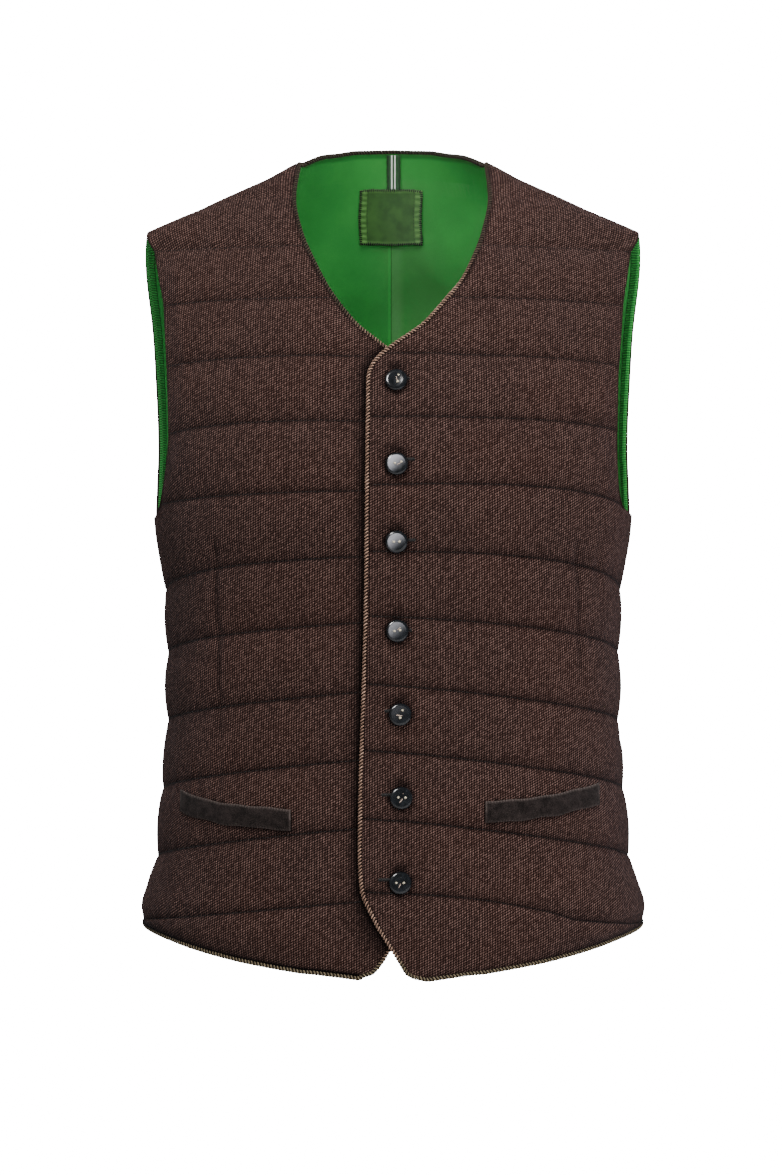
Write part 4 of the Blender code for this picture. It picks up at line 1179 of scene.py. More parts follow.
buttons = button_places()
for middle, _ in buttons:
    pull_of_button(left, middle)
shade_of_welt(left, *WELTS["left"][:3])
shade_of_welt(right, *WELTS["right"][:3])
shade_of_lap(right, left)
for name, quilt, turned in (("left_front", left, False), ("right_front", right, True), ("back", back, True)):
    cut(quilt.cloth(f"{name}_knit", name, turned), quilt.inner)

# %% [markdown]
# ## Linings
# Each panel has its own lining, a thin satin wall just inside the padding. It is cut a little full, so it
# lies in shallow waves, and down the centre of the back it has a pleat for ease: a sharp fold on one side,
# a pale strip beside it. It carries its distance from the armhole, where the ribbed tape lies.

# %% Linings
PIECE_GAP = 0.0003
LINING_WALL = 0.0010
LINING_LAST_ROW = 11.75
PLEAT_WIDTH = 0.0095
PLEAT_TOP = -0.0280
PLEAT_RISE = 0.0007
LINING_WAVES = 0.0005
FLAT_EDGE = 0.02            # the waves die away this near to an armhole


def armhole_distance(grid, numbers, columns):
    """How far each point lies from the armhole edges in the given columns, and how far round them it is."""
    above = numbers <= ARMPIT_ROW
    distance = np.full(grid.shape[:2], 1.0)
    around = np.zeros(grid.shape[:2])
    for j in columns:
        edge = grid[above, j]
        length = length_along(edge)
        for i in range(len(grid)):
            gaps = np.linalg.norm(grid[i, :, None] - edge[None], axis=2)
            nearest = gaps.argmin(axis=1)
            closer = gaps.min(axis=1) < distance[i]
            distance[i, closer] = gaps.min(axis=1)[closer]
            around[i, closer] = length[nearest][closer]
    return distance, around


def lining(quilt, name, node, turned, armhole_columns, seed):
    """The lining of a quilt, two rows and two columns coarser than it."""
    rows = [i for i in every(len(quilt.inner), 2) if quilt.numbers[i] <= LINING_LAST_ROW]
    columns = every(len(quilt.inner[0]), 2)
    picks = np.ix_(rows, columns)
    grid, normals, uv = quilt.inner[picks], quilt.normals[picks], quilt.uv[picks]
    edge, around = armhole_distance(grid, quilt.numbers[rows], armhole_columns)
    dice = np.random.default_rng(seed)
    ways, lengths, starts = dice.uniform(0.9, 2.3, 4), dice.uniform(0.05, 0.13, 4), dice.uniform(0, 6.28, 4)
    x, z = grid[..., 0], grid[..., 2]
    waves = sum(np.sin((x * math.cos(way) + z * math.sin(way)) * math.tau / length + start)
                for way, length, start in zip(ways, lengths, starts))
    rise = LINING_WAVES * (1 + waves / 4) * smooth(edge / FLAT_EDGE)
    if not quilt.own:
        strip = (x > -1e-4) * smooth((PLEAT_WIDTH + 0.0015 - x) / 0.003) * smooth((PLEAT_TOP - z) / 0.004)
        rise = rise + PLEAT_RISE * strip
    outer = grid - normals * PIECE_GAP
    inner = grid - normals * (PIECE_GAP + LINING_WALL + rise)[..., None]
    # only the back lining has a neckline of its own, between the neck points
    neck = np.linalg.norm(grid - grid[[0]], axis=2) + (1.0 if quilt.own else 0.0)
    neck = neck + 0.02 * (np.abs(x) > NECK_POINT_X)
    values = {"edge": edge, "round": around, "neck": neck}
    piece = closed_cloth(name, inner, outer, 3, uv, turned, green_lining, values)
    cut(piece, inner)
    return settle(piece, "green_lining", node), inner


left_green, _ = lining(left, "left_front_satin", "left_front_lining", True, [-1], 5)
right_green, _ = lining(right, "right_front_satin", "right_front_lining", False, [-1], 6)
back_green, back_satin = lining(back, "back_satin", "back_lining", False, [0, -1], 7)
print("linings:", [len(o.data.polygons) for o in (left_green, right_green, back_green)])

# %% [markdown]
# ## Twisted cord, by Geometry Nodes
# The edging is two plies twisted together. A tree makes it from any line: it resamples the line, tilts it
# half a turn for every ply that should show, and sweeps a round section along it. The section stores where
# round the cord each point is. From that the tree presses in the groove between the two plies, deeper
# where the cord is pale, and the material paints shade into it.

# %% Helpers for trees
class Tree:
    """A Geometry Nodes tree with named inputs."""

    def __init__(self, name, **inputs):
        self.group = bpy.data.node_groups.new(name, "GeometryNodeTree")
        face = self.group.interface
        face.new_socket("Line", in_out="INPUT", socket_type="NodeSocketGeometry")
        self.names = {}
        for label, start in inputs.items():
            kind = {float: "NodeSocketFloat", int: "NodeSocketInt"}.get(type(start), "NodeSocketMaterial")
            socket = face.new_socket(label, in_out="INPUT", socket_type=kind)
            if start is not None:
                socket.default_value = start
            self.names[label] = socket.identifier
        face.new_socket("Piece", in_out="OUTPUT", socket_type="NodeSocketGeometry")
        source = self.group.nodes.new("NodeGroupInput")
        self.line = Wire(self.group, source.outputs[0])
        self.input = {label: Wire(self.group, source.outputs[label]) for label in inputs}

    def finish(self, geometry):
        """Ends the tree: instances made real, and the material set."""
        real = geometry.node("GeometryNodeRealizeInstances", None, {0: geometry})
        dressed = real.node("GeometryNodeSetMaterial", None, {0: real, "Material": self.input["Material"]})
        end = self.group.nodes.new("NodeGroupOutput")
        self.group.links.new(dressed.socket, end.inputs[0])

    def grow(self, name, source, finish, **values):
        """Runs the tree on an object and returns what it makes as a plain mesh object."""
        modifier = source.modifiers.new("grow", "NODES")
        modifier.node_group = self.group
        for label, value in {**values, "Material": finish.material}.items():
            modifier[self.names[label]] = value
        graph = bpy.context.evaluated_depsgraph_get()
        mesh = bpy.data.meshes.new_from_object(source.evaluated_get(graph))
        mesh.name = name
        if finish.material.name not in mesh.materials:
            mesh.materials.append(finish.material)
        bpy.data.objects.remove(source)
        return added(name, mesh)


def line_object(lines, facings=None, thickness=None, tone=None):
    """A mesh of bare edges along one or more lines of points, which a tree turns into curves."""
    points, edges, faced, thick, tones = [], [], [], [], []
    for k, line in enumerate(lines):
        first = len(points)
        points += [tuple(p) for p in line]
        edges += [(i, i + 1) for i in range(first, len(points) - 1)]
        faced += list(facings[k]) if facings is not None else [(0, 0, 1)] * len(line)
        thick += list(thickness[k]) if thickness is not None else [1.0] * len(line)
        tones += list(tone[k]) if tone is not None else [0.0] * len(line)
    mesh = bpy.data.meshes.new("line")
    mesh.from_pydata(points, edges, [])
    mesh.attributes.new("facing", "FLOAT_VECTOR", "POINT").data.foreach_set("vector", np.array(faced).ravel())
    carry(mesh, "thickness", thick)
    carry(mesh, "tone", tones)
    return added("line", mesh)


# %% The cord tree
def cord_tree():
    tree = Tree("twisted cord", Radius=0.0017, Ply=0.0027, Step=0.00045, Sides=14, Lobe=0.26, Material=None)
    curve = tree.line.node("GeometryNodeMeshToCurve", None, {0: tree.line})
    even = curve.node("GeometryNodeResampleCurve", {"mode": "LENGTH"},
                      {0: curve, "Length": tree.input["Step"]})
    along = even.node("GeometryNodeSplineParameter", out=1)
    tilt = along / tree.input["Ply"] * math.pi
    tilted = even.node("GeometryNodeSetCurveTilt", None, {0: even, "Tilt": tilt})
    scaled = tilted.node("GeometryNodeSetCurveRadius", None, {0: tilted, "Radius": even.carried("thickness")})
    section = even.node("GeometryNodeCurvePrimitiveCircle", None,
                        {"Resolution": tree.input["Sides"], "Radius": tree.input["Radius"]})
    share = section.node("GeometryNodeSplineParameter", out=0)
    marked = section.carrying("ply", share * 2.0)
    place = section.node("GeometryNodeInputPosition")
    kept = scaled.carrying("middle", place, "FLOAT_VECTOR")
    swept = kept.node("GeometryNodeCurveToMesh", None, {0: kept, 1: marked, "Fill Caps": True})
    ply, tone, middle = swept.carried("ply"), swept.carried("tone"), swept.carried("middle", "FLOAT_VECTOR")
    depth = tree.input["Lobe"] * (tone * 0.65 + 0.35)
    lobe = (ply * math.tau).math("COSINE") * depth + (1 - depth)
    moved = middle.vector("ADD", place.vector("SUBTRACT", middle).vector("SCALE", lobe))
    shaped = swept.node("GeometryNodeSetPosition", None, {0: swept, "Position": moved})
    smooth_sides = shaped.node("GeometryNodeSetShadeSmooth", None, {0: shaped})
    tree.finish(smooth_sides)
    return tree


twisted_cord = cord_tree()

# %% Lines along the cloth's edges
CORD_RADIUS = 0.0020
CORD_SINK = 0.0011          # how far the cord is pulled into the cloth's edge
NECK_CORD = 0.0021
HEM_CORD = 0.0018


def beside(points, normals, inside, radius, rise):
    """The line of a cord that lies along a cloth edge, just outside it and part way up the wall."""
    along = np.gradient(points, axis=0)
    out = np.cross(along, normals)
    out /= np.linalg.norm(out, axis=1, keepdims=True)
    out *= -np.sign(np.sum(out[0] * (inside - points[0])))
    return points + normals * SEAM_WALL * rise + out * (radius[:, None] - CORD_SINK)


def corded(name, node, line, radius, **look):
    """A twisted cord along a line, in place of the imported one."""
    print(f"{name}: {length_of(line):.3f} m long")
    made = twisted_cord.grow(name, line_object([line], **look), edging, Radius=radius)
    return settle(made, "brown_edging", node)


def front_cord(quilt, name, node, pale_from):
    """Down the neckline and front edge, round the corner and along the hem. Thin and dark at the shoulder."""
    points = np.concatenate([quilt.inner[:, 0], quilt.inner[-1, 1:]])
    normals = np.concatenate([quilt.normals[:, 0], quilt.normals[-1, 1:]])
    z = points[:, 2]
    neck = smooth((0.010 - z) / 0.105)
    pale = smooth((-pale_from - z) / 0.070)
    low = np.where(np.arange(len(z)) < len(quilt.inner), smooth((z + 0.612) / 0.014), 0.0)
    thickness = lerp(0.28, 1.0, neck) * lerp(0.80, 1.0, low)
    tone = lerp(0.04, 1.0, pale) * lerp(0.06, 1.0, low)
    line = beside(points, normals, quilt.inner[0, 1], CORD_RADIUS * thickness, 0.62)
    return corded(name, node, line, CORD_RADIUS, thickness=[thickness], tone=[tone])


def back_cord(name, node, row, columns, inside_row, radius, rise):
    """Along one row of the back: the neckline or the hem."""
    points, normals = back.inner[row, columns], back.normals[row, columns]
    inside = back.inner[inside_row, columns][0]
    return corded(name, node, beside(points, normals, inside, radius + 0 * points[:, 0], rise), radius)


front_cord(left, "left_front_twisted_cord", "left_front_edge_cord", 0.030)
front_cord(right, "right_front_twisted_cord", "right_front_edge_cord", 0.085)
neck = np.abs(back.inner[0, :, 0]) < NECK_POINT_X + 0.0030
back_cord("back_neck_twisted_cord", "back_neck_edge_cord", 0, neck, -2, NECK_CORD, -0.10)
back_cord("back_hem_twisted_cord", "back_hem_edge_cord", -1, slice(None), -3, HEM_CORD, 0.5)

# %% [markdown]
# ## Armhole bindings
# A strip of the knit is rolled over each armhole's raw edge and sewn down inside, where it shows green
# ribbed tape. It is a sweep whose section follows the cloth: wide along the wall, narrow across it. The
# side that faces out is the brown knit, and the side that faces the wearer is the tape.

# %% Bindings
BINDING_ACROSS = 0.0011     # half thickness beyond the edge
BINDING_DEPTH = 0.0021      # half width over the wall
BINDING_SIDES = 16
BINDING_STEP = 0.0016
BINDING_RIB = 0.0021
BROWN_ROLL = ((0.0025, 0.0015, 0.0013), (0.050, 0.030, 0.026))
GREEN_ROLL = ((0.010, 0.095, 0.018), (0.080, 0.500, 0.105))


def make_binding_finish():
    made = Finish("binding", Roughness=0.95, Specular_IOR_Level=0.1)
    rib = ribs(made.value("along"), BINDING_RIB)
    fibre = made.noise(1500.0, 3.0)
    brown = (rib * 0.6 + fibre * 0.4).colour(*BROWN_ROLL)
    green = (rib * 0.8 + fibre * 0.2).colour(*GREEN_ROLL)
    inside = made.value("inside").step(0.35, 0.65)
    return made.surface(inside.colour(brown, green), None, rib * 0.8 + fibre * 0.2, 0.0005, 0.7)


def outward(mesh):
    """Turns a closed mesh's faces outwards."""
    work = bmesh.new()
    work.from_mesh(mesh)
    bmesh.ops.recalc_face_normals(work, faces=work.faces)
    work.to_mesh(mesh)
    work.free()


def binding(front, name, node):
    """Round an armhole: down the front's edge and up the back's."""
    above = numbers <= ARMPIT_ROW
    column = -1 if front.own > 0 else 0
    points = np.concatenate([front.inner[above, -1][1:], back.inner[above, column][-2::-1]])
    normals = np.concatenate([front.normals[above, -1][1:], back.normals[above, column][-2::-1]])
    length = length_along(points)
    even = np.arange(0, length[-1], BINDING_STEP)
    points, normals = (np.stack([np.interp(even, length, g[:, k]) for k in range(3)], axis=1)
                       for g in (points, normals))
    normals /= np.linalg.norm(normals, axis=1, keepdims=True)
    inside = front.inner[1, -2]
    middle = beside(points, normals, inside, 0.001 + 0 * even, 0.55)
    out = np.cross(np.roll(middle, -1, axis=0) - np.roll(middle, 1, axis=0), normals)
    out /= np.linalg.norm(out, axis=1, keepdims=True)
    out *= -np.sign(np.sum(out[0] * (inside - middle[0])))
    turn = np.linspace(0, math.tau, BINDING_SIDES, endpoint=False)
    ring = (middle[:, None]
            + np.cos(turn)[None, :, None] * BINDING_ACROSS * out[:, None]
            + np.sin(turn)[None, :, None] * BINDING_DEPTH * normals[:, None])
    faces = []
    for i in range(len(ring)):
        for j in range(BINDING_SIDES):
            here, there = i * BINDING_SIDES, (i + 1) % len(ring) * BINDING_SIDES
            j2 = (j + 1) % BINDING_SIDES
            faces.append((here + j, there + j, there + j2, here + j2))
    print(f"{name}: {length[-1]:.3f} m round")
    mesh = bpy.data.meshes.new(name)
    mesh.from_pydata(ring.reshape(-1, 3).tolist(), [], faces)
    carry(mesh, "inside", np.tile(smooth(0.5 - np.sin(turn) * 4), (len(ring), 1)))
    carry(mesh, "along", np.repeat(even, BINDING_SIDES))
    mesh.materials.append(binding_finish.material)
    mesh.shade_smooth()
    outward(mesh)
    return settle(added(name, mesh), "brown_knit", node)


binding_finish = make_binding_finish()
binding(left, "left_armhole_rolled_binding", "left_armhole_binding")
binding(right, "right_armhole_rolled_binding", "right_armhole_binding")

# %% [markdown]
# ## Laying flat pieces on the cloth
# Welts, label and tape lie on a panel. Each is a small grid whose points are dropped on the panel's face
# from the front, raised along the way the cloth faces, and closed to a thin cloth with a plain underside.

# %% Dropping points on a face
def tree_of(grid):
    high, wide = grid.shape[:2]
    faces = [(i * wide + j, (i + 1) * wide + j, (i + 1) * wide + j + 1, i * wide + j + 1)
             for i in range(high - 1) for j in range(wide - 1)]
    return BVHTree.FromPolygons(grid.reshape(-1, 3).tolist(), faces)


def dropped(tree, x, z):
    """Points and facings where lines from the front meet a face, for arrays of x and z."""
    points, facings = np.empty((*x.shape, 3)), np.empty((*x.shape, 3))
    for place in np.ndindex(x.shape):
        hit, normal, _, _ = tree.ray_cast(Vector((x[place], -1.0, z[place])), Vector((0, 1, 0)))
        points[place] = hit
        facings[place] = -normal if normal.y > 0 else normal
    return points, facings


def softened(grid, times):
    """A grid of facings, averaged with its neighbours a few times and made unit length."""
    for _ in range(times):
        padded = np.pad(grid, ((1, 1), (1, 1), (0, 0)), mode="edge")
        grid = (padded[:-2, 1:-1] + padded[2:, 1:-1] + padded[1:-1, :-2] + padded[1:-1, 2:] + 2 * grid) / 6
    return grid / np.linalg.norm(grid, axis=-1, keepdims=True)


left_face, right_face, back_face = tree_of(left.outer), tree_of(right.outer), tree_of(back_satin)

# %% [markdown]
# ## Pocket welts
# The welts are strips of felt, folded at the top, with their ends sewn down. They sag a little between
# their ends, thin out towards the rim, and carry a painted highlight along the rim, strongest at the fold.

# %% Welts
WELT_WALL = 0.0017
WELT_GAP = 0.0005
SOFTENING = 8               # rounds of averaging of the way the knit faces under a welt
BRIDGING = 12               # rounds in which the felt bridges small hollows under it


def welt(hand, tree, turned):
    (x0, z0), (x1, z1), sag, deepest = WELTS[hand]
    share = np.linspace(0, 1, 76)
    down = np.linspace(0, 1, 16)
    bow = np.sin(math.pi * share ** (math.log(0.5) / math.log(deepest)))
    top = lerp(z0, z1, share) - sag * bow + 0.0003 * np.sin(share * 23 + x0 * 40)
    foot_wave = 0.0004 * np.sin(share * 17 + 1 + x0 * 30)
    x = lerp(x0, x1, share)[None] + 0 * down[:, None]
    z = top[None] - down[:, None] * (WELT_HEIGHT + foot_wave[None])
    points, facings = dropped(tree, x, z)
    facings = softened(facings, SOFTENING)
    for _ in range(BRIDGING):
        points[:, 1:-1, 1] = np.minimum(points[:, 1:-1, 1], (points[:, :-2, 1] + points[:, 2:, 1]) / 2)
    to_rim = np.minimum.reduce([
        down[:, None] * WELT_HEIGHT + 0 * x, (1 - down[:, None]) * WELT_HEIGHT + 0 * x,
        share[None] * abs(x1 - x0) + 0 * x, (1 - share[None]) * abs(x1 - x0) + 0 * x])
    rise = WELT_WALL * (0.35 + 0.65 * smooth(to_rim / 0.0022)) + 0.0005 * (1 - down[:, None]) * bow[None]
    rise = rise - 0.0005 * np.exp(-((to_rim - 0.0030) / 0.0008) ** 2)
    outer = points + facings * (WELT_GAP + rise)[..., None]
    under = points + facings * WELT_GAP
    # painted highlight along the rim: full in the upper half, weaker in the lower
    rim = np.exp(-(to_rim / 0.0011) ** 2) * np.where(down[:, None] < 0.5, 1.0, 0.35)
    uv = np.stack(np.meshgrid(share * abs(x1 - x0), down * WELT_HEIGHT), axis=2)
    piece = closed_cloth(f"{hand}_felt_welt", outer, under, 3, uv, turned, charcoal_felt, {"rim": rim})
    return settle(piece, "charcoal_felt", f"{hand}_pocket_welt")


welt("left", left_face, False)
welt("right", right_face, True)

# %% [markdown]
# ## Label and hanging tape
# The label is turned under at its sides, sewn all round with green thread, and puckers between the
# stitches. It stays bare. The tape runs from the neck seam down behind it.

# %% Label and tape
LABEL_WIDTH = 0.0530
LABEL_TOP = 0.0200
LABEL_BOTTOM = -0.0260
LABEL_HEM = 0.0066
LABEL_X = -0.0019
TAPE_X = 0.0007
TAPE_WIDTH = 0.0102
TAPE_TOP = 0.0474
UNDERSIDE = 0.0004          # gap between the satin and what is sewn on it
LABEL_SOFTENING = 10


def sewn_on(name, node, slot_name, finish, x, z, rise, values=None):
    """A thin cloth on the back's satin, its face raised by rise. Returns that face and the way it faces."""
    points, facings = dropped(back_face, x, z)
    facings = softened(facings, LABEL_SOFTENING)
    outer, under = points + facings * rise[..., None], points + facings * UNDERSIDE
    piece = closed_cloth(name, outer, under, 4, np.stack([x, -z], axis=2), False, finish, values)
    cut(piece, points)
    settle(piece, slot_name, node)
    return outer, facings


def label():
    share, down = np.linspace(-1, 1, 72)[None], np.linspace(0, 1, 62)[:, None]
    x = LABEL_X + share * LABEL_WIDTH / 2 + 0 * down
    x = x + 0.0005 * np.sin(down * 7 + 1) * np.abs(share)
    z = lerp(LABEL_TOP, LABEL_BOTTOM, down) - 0.0003 * np.cos(share * 5.0)
    z = z - 0.0014 * share**2 * (1 - down)
    side = (1 - np.abs(share)) * LABEL_WIDTH / 2 + 0 * z
    ends = np.minimum(down, 1 - down) * (LABEL_TOP - LABEL_BOTTOM) + 0 * z
    hem = smooth((LABEL_HEM - side) / 0.0012) * 0.8 + 0.45 * smooth((0.0035 - ends) / 0.001)
    hem = np.minimum(hem, 1)
    folds = np.sin(z / LABEL_PLEAT * math.tau + 3 * share)
    pucker = 0.00022 * folds * smooth((LABEL_HEM - side) / 0.003)
    pucker = pucker + 0.00015 * np.sin(x / 0.0062 * math.tau) * smooth((0.006 - ends) / 0.003)
    seam = 0.00028 * np.exp(-((side - LABEL_HEM) / 0.0007) ** 2)
    rise = 0.0008 + 0.0004 * hem + pucker - seam
    rise = 0.0007 + rise * (0.5 + 0.5 * smooth(np.minimum(side, ends) / 0.0012))
    return sewn_on("bare_neck_label", "neck_label", "green_label", olive_label, x, z, rise, {"hem": hem})


def tape():
    share, down = np.linspace(-1, 1, 13)[None], np.linspace(0, 1, 48)[:, None]
    x = TAPE_X + share * TAPE_WIDTH / 2 + 0 * down
    z = lerp(TAPE_TOP, LABEL_TOP + 0.0002, down) + 0 * share
    rise = 0.0005 + (0.0008 + 0.0004 * np.cos(share * math.pi / 2) + 0 * z)
    return sewn_on("striped_hanging_tape", "hanging_tape", "striped_tape", striped_tape, x, z, rise)


label_grid, label_facings = label()
tape_grid, tape_facings = tape()

# %% [markdown]
# ## Sewing, by Geometry Nodes
# All stitches come from one tree. It sets threads along a line at even steps, leans each by an angle from
# the line's direction within the cloth, and shifts and sizes them a little at random. Along the line they
# are running stitches; square to it they are the overcast edge of the label and of the buttonholes.

# %% The stitch tree
def stitch_tree():
    tree = Tree("stitches", Spacing=0.0034, Length=0.0024, Thickness=0.0002, Lean=0.0, Jitter=0.1, Seed=1,
                Material=None)
    curve = tree.line.node("GeometryNodeMeshToCurve", None, {0: tree.line})
    even = curve.node("GeometryNodeResampleCurve", {"mode": "LENGTH"},
                      {0: curve, "Length": tree.input["Spacing"]})
    tangent = even.node("GeometryNodeInputTangent")
    facing = even.carried("facing", "FLOAT_VECTOR")
    shake = even.node("FunctionNodeRandomValue", {"data_type": "FLOAT"},
                      {2: -1.0, 3: 1.0, "Seed": tree.input["Seed"]}, out=1)
    lean = tree.input["Lean"] + shake * tree.input["Jitter"]
    across = facing.vector("CROSS_PRODUCT", tangent).vector("SCALE", lean.math("SINE"))
    way = tangent.vector("SCALE", lean.math("COSINE")).vector("ADD", across)
    turned = way.node("FunctionNodeAlignRotationToVector", {"axis": "Z"}, {"Vector": way})
    thread = even.node("GeometryNodeMeshUVSphere", None, {"Segments": 6, "Rings": 4, "Radius": 0.5})
    size = even.node("ShaderNodeCombineXYZ", None,
                     {0: tree.input["Thickness"] * 2.0, 1: tree.input["Thickness"] * 2.0,
                      2: tree.input["Length"] * (shake * tree.input["Jitter"] + 1.0)})
    sewn = even.node("GeometryNodeInstanceOnPoints", None,
                     {"Points": even, "Instance": thread, "Rotation": turned, "Scale": size})
    real = sewn.node("GeometryNodeRealizeInstances", None, {0: sewn})
    tree.finish(real.node("GeometryNodeSetShadeSmooth", None, {0: real}))
    return tree


def sew(name, lines, facings, thread, slot_name, **sizes):
    """Stitches along lines, as a piece of its own."""
    return settle(stitches.grow(name, line_object(lines, facings), thread, **sizes), slot_name)


stitches = stitch_tree()


# %% Running stitches in the quilting lines
STITCH_LIFT = 0.00012       # how far the thread stands off the groove's bottom


def quilting(quilt, name, seed):
    """Running stitches along a panel's quilting lines, just above the bottom of each groove."""
    picks = [int(np.searchsorted(quilt.numbers, k - 1e-6)) for k in range(1, HEM_ROW)]
    facings = [quilt.normals[i, 2:-2] for i in picks]
    lines = [quilt.outer[i, 2:-2] + facing * STITCH_LIFT for i, facing in zip(picks, facings)]
    piece = sew(name, lines, facings, quilting_thread, "brown_knit",
                Spacing=0.0033, Length=0.0024, Thickness=0.00022, Jitter=0.12, Seed=seed)
    print(name, len(piece.data.polygons), "faces")


quilting(left, "left_front_quilting", 3)
quilting(right, "right_front_quilting", 4)
quilting(back, "back_quilting", 5)

# %% Overcast edges of label and tape
LABEL_HEM_COLUMNS = (9, -10)    # the columns of the label's grid in which its side hems are sewn


def rim_of(grid, inset):
    """The values round a grid's rim, a few points in from its edge."""
    a, b = slice(inset, -inset), inset
    return np.concatenate([grid[b, a], grid[a, -b - 1], grid[-b - 1, a][::-1], grid[a, b][::-1]])


sew("label_overcast", [rim_of(label_grid, 1)], [rim_of(label_facings, 1)], green_thread, "green_label",
    Spacing=0.0018, Length=0.0030, Thickness=0.00062, Lean=1.30, Jitter=0.25, Seed=8)
hem_facings = [label_facings[3:-3, k] for k in LABEL_HEM_COLUMNS]
hem_lines = [label_grid[3:-3, k] + label_facings[3:-3, k] * 0.0001 for k in LABEL_HEM_COLUMNS]
sew("label_hem_stitches", hem_lines, hem_facings, green_thread, "green_label",
    Spacing=0.0026, Length=0.0017, Thickness=0.00018, Jitter=0.1, Seed=9)
sew("tape_overcast", [tape_grid[:, k] for k in (0, -1)], [tape_facings[:, k] for k in (0, -1)],
    green_thread, "striped_tape",
    Spacing=0.0017, Length=0.0024, Thickness=0.00042, Lean=1.1, Jitter=0.25, Seed=10)

# %% [markdown]
# ## Buttons
# A horn button is turned on a lathe: a raised rim, a shallow dish and two holes. The profile is written
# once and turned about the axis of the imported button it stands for. Cream thread fills the holes.

# %% Buttons
BUTTON_RADIUS = 0.0090
BUTTON_HEIGHT = 0.0037
BUTTON_SIDES = 64
# shares of the radius and of the height, from the middle of the face over the rim to under the middle
BUTTON_PROFILE = (
    (0.0, 0.86), (0.20, 0.87), (0.36, 0.90), (0.50, 0.945), (0.60, 0.985), (0.68, 1.0), (0.75, 0.985),
    (0.81, 0.950), (0.87, 0.895), (0.92, 0.810), (0.96, 0.690), (0.985, 0.56), (1.0, 0.44), (0.99, 0.28),
    (0.95, 0.14), (0.86, 0.04), (0.70, 0.0), (0.0, 0.0),
)


def turned_button(name, middle, facing, silver):
    """A turned button with its middle and facing as given."""
    across = np.cross(facing, (0.0, 0.0, 1.0))
    across /= np.linalg.norm(across)
    up = np.cross(across, facing)
    turn = np.linspace(0, math.tau, BUTTON_SIDES, endpoint=False)
    foot = middle - facing * BUTTON_HEIGHT / 2
    points, reflection_share = [], []
    for out, high in BUTTON_PROFILE:
        ring = foot + facing * BUTTON_HEIGHT * high + 0 * turn[:, None]
        ring = ring + out * BUTTON_RADIUS * (np.cos(turn)[:, None] * across + np.sin(turn)[:, None] * up)
        points.append(ring if out else ring[:1])
        # painted reflection: lighter towards the upper left of the face, inside the rim only
        lean = (np.cos(turn) * 0.6 + np.sin(turn) * 0.8) * out if out else np.zeros(1)
        reflection_share.append(silver * smooth((lean + 0.62) / 1.5) * (1.0 if out < 0.80 and high > 0.5 else 0.0))
    starts = np.cumsum([0] + [len(p) for p in points])
    faces = []
    for k in range(len(points) - 1):
        for j in range(BUTTON_SIDES):
            j2 = (j + 1) % BUTTON_SIDES
            a, b = starts[k], starts[k + 1]
            if len(points[k]) == 1:
                faces.append((a, b + j, b + j2))
            elif len(points[k + 1]) == 1:
                faces.append((a + j, b, a + j2))
            else:
                faces.append((a + j, b + j, b + j2, a + j2))
    mesh = bpy.data.meshes.new(name)
    mesh.from_pydata(np.concatenate(points).tolist(), [], faces)
    carry(mesh, "silver", np.concatenate(reflection_share))
    mesh.materials.append(dark_horn.material)
    mesh.shade_smooth()
    outward(mesh)
    return added(name, mesh), across, up


# what shows on each face, in millimetres from its middle: thread dots, streaks from point to point, and how
# strong a reflection is painted on the face
BUTTON_MARKS = {
    1: (((1.9, 3.5), (1.4, -2.1)), ((0.2, 1.6, 0.6, -0.4),), 0.0),
    2: (((-1.4, 0.4), (3.9, 1.5)), ((0.8, -0.6, 2.6, 0.2),), 1.0),
    3: (((-2.2, 0.3), (2.4, 0.5)), (), 0.8),
    4: (((-2.3, -0.2), (2.2, 0.6)), ((0.6, 1.2, 3.4, 3.6),), 0.5),
    5: (((1.8, 3.4), (0.0, -2.4)), ((-2.4, -0.4, 1.4, -0.8),), 0.06),
    6: (((-2.4, 0.5), (3.3, 0.3)), ((0.6, -1.0, -3.2, -6.0), (1.4, 3.6, 2.0, 4.4)), 0.0),
    7: (((-3.2, 0.2), (2.9, 0.2)), ((0.0, -1.2, -1.6, -4.2),), 0.0),
}


def button_marks(number, middle, facing, across, up):
    """Cream thread in the two holes, and the pale streaks where the horn's layers come through."""
    dots, streaks, _ = BUTTON_MARKS[number]

    def on_face(x, y):
        drop = 0.00045 * (math.hypot(x, y) / 6) ** 2
        return middle + facing * (BUTTON_HEIGHT * 0.40 - drop) - across * x / 1000 + up * y / 1000

    short = [np.array([on_face(x - 0.2, y), on_face(x + 0.2, y)]) for x, y in dots]
    long = [np.array([on_face(lerp(x0, x1, t), lerp(y0, y1, t)) for t in np.linspace(0, 1, 6)])
            for x0, y0, x1, y1 in streaks]
    sew(f"button_{number}_thread", short, [[facing] * 2 for _ in short], cream_thread, "dark_horn",
        Spacing=0.0004, Length=0.0019, Thickness=0.00092, Lean=0.7, Jitter=0.3, Seed=2)
    if long:
        sew(f"button_{number}_streak", long, [[facing] * 6 for _ in long], pale_horn, "dark_horn",
            Spacing=0.0007, Length=0.0014, Thickness=0.0004, Lean=0.2, Jitter=0.5, Seed=4)


for k, (middle, facing) in enumerate(buttons, start=1):
    made, across, up = turned_button(f"horn_button_{k}", middle, facing, BUTTON_MARKS[k][2])
    settle(made, "dark_horn", f"button_{k}")
    button_marks(k, middle, facing, across, up)
print("buttons at heights", [round(float(m[2]), 3) for m, _ in buttons])

# %% [markdown]
# ## Buttonholes
# The end of each worked buttonhole shows beside its button: on the right of the upper four and on the left
# of the lower three. It is a slit between two rows of close, square stitches, filled with near-black threads
# as painted shade.

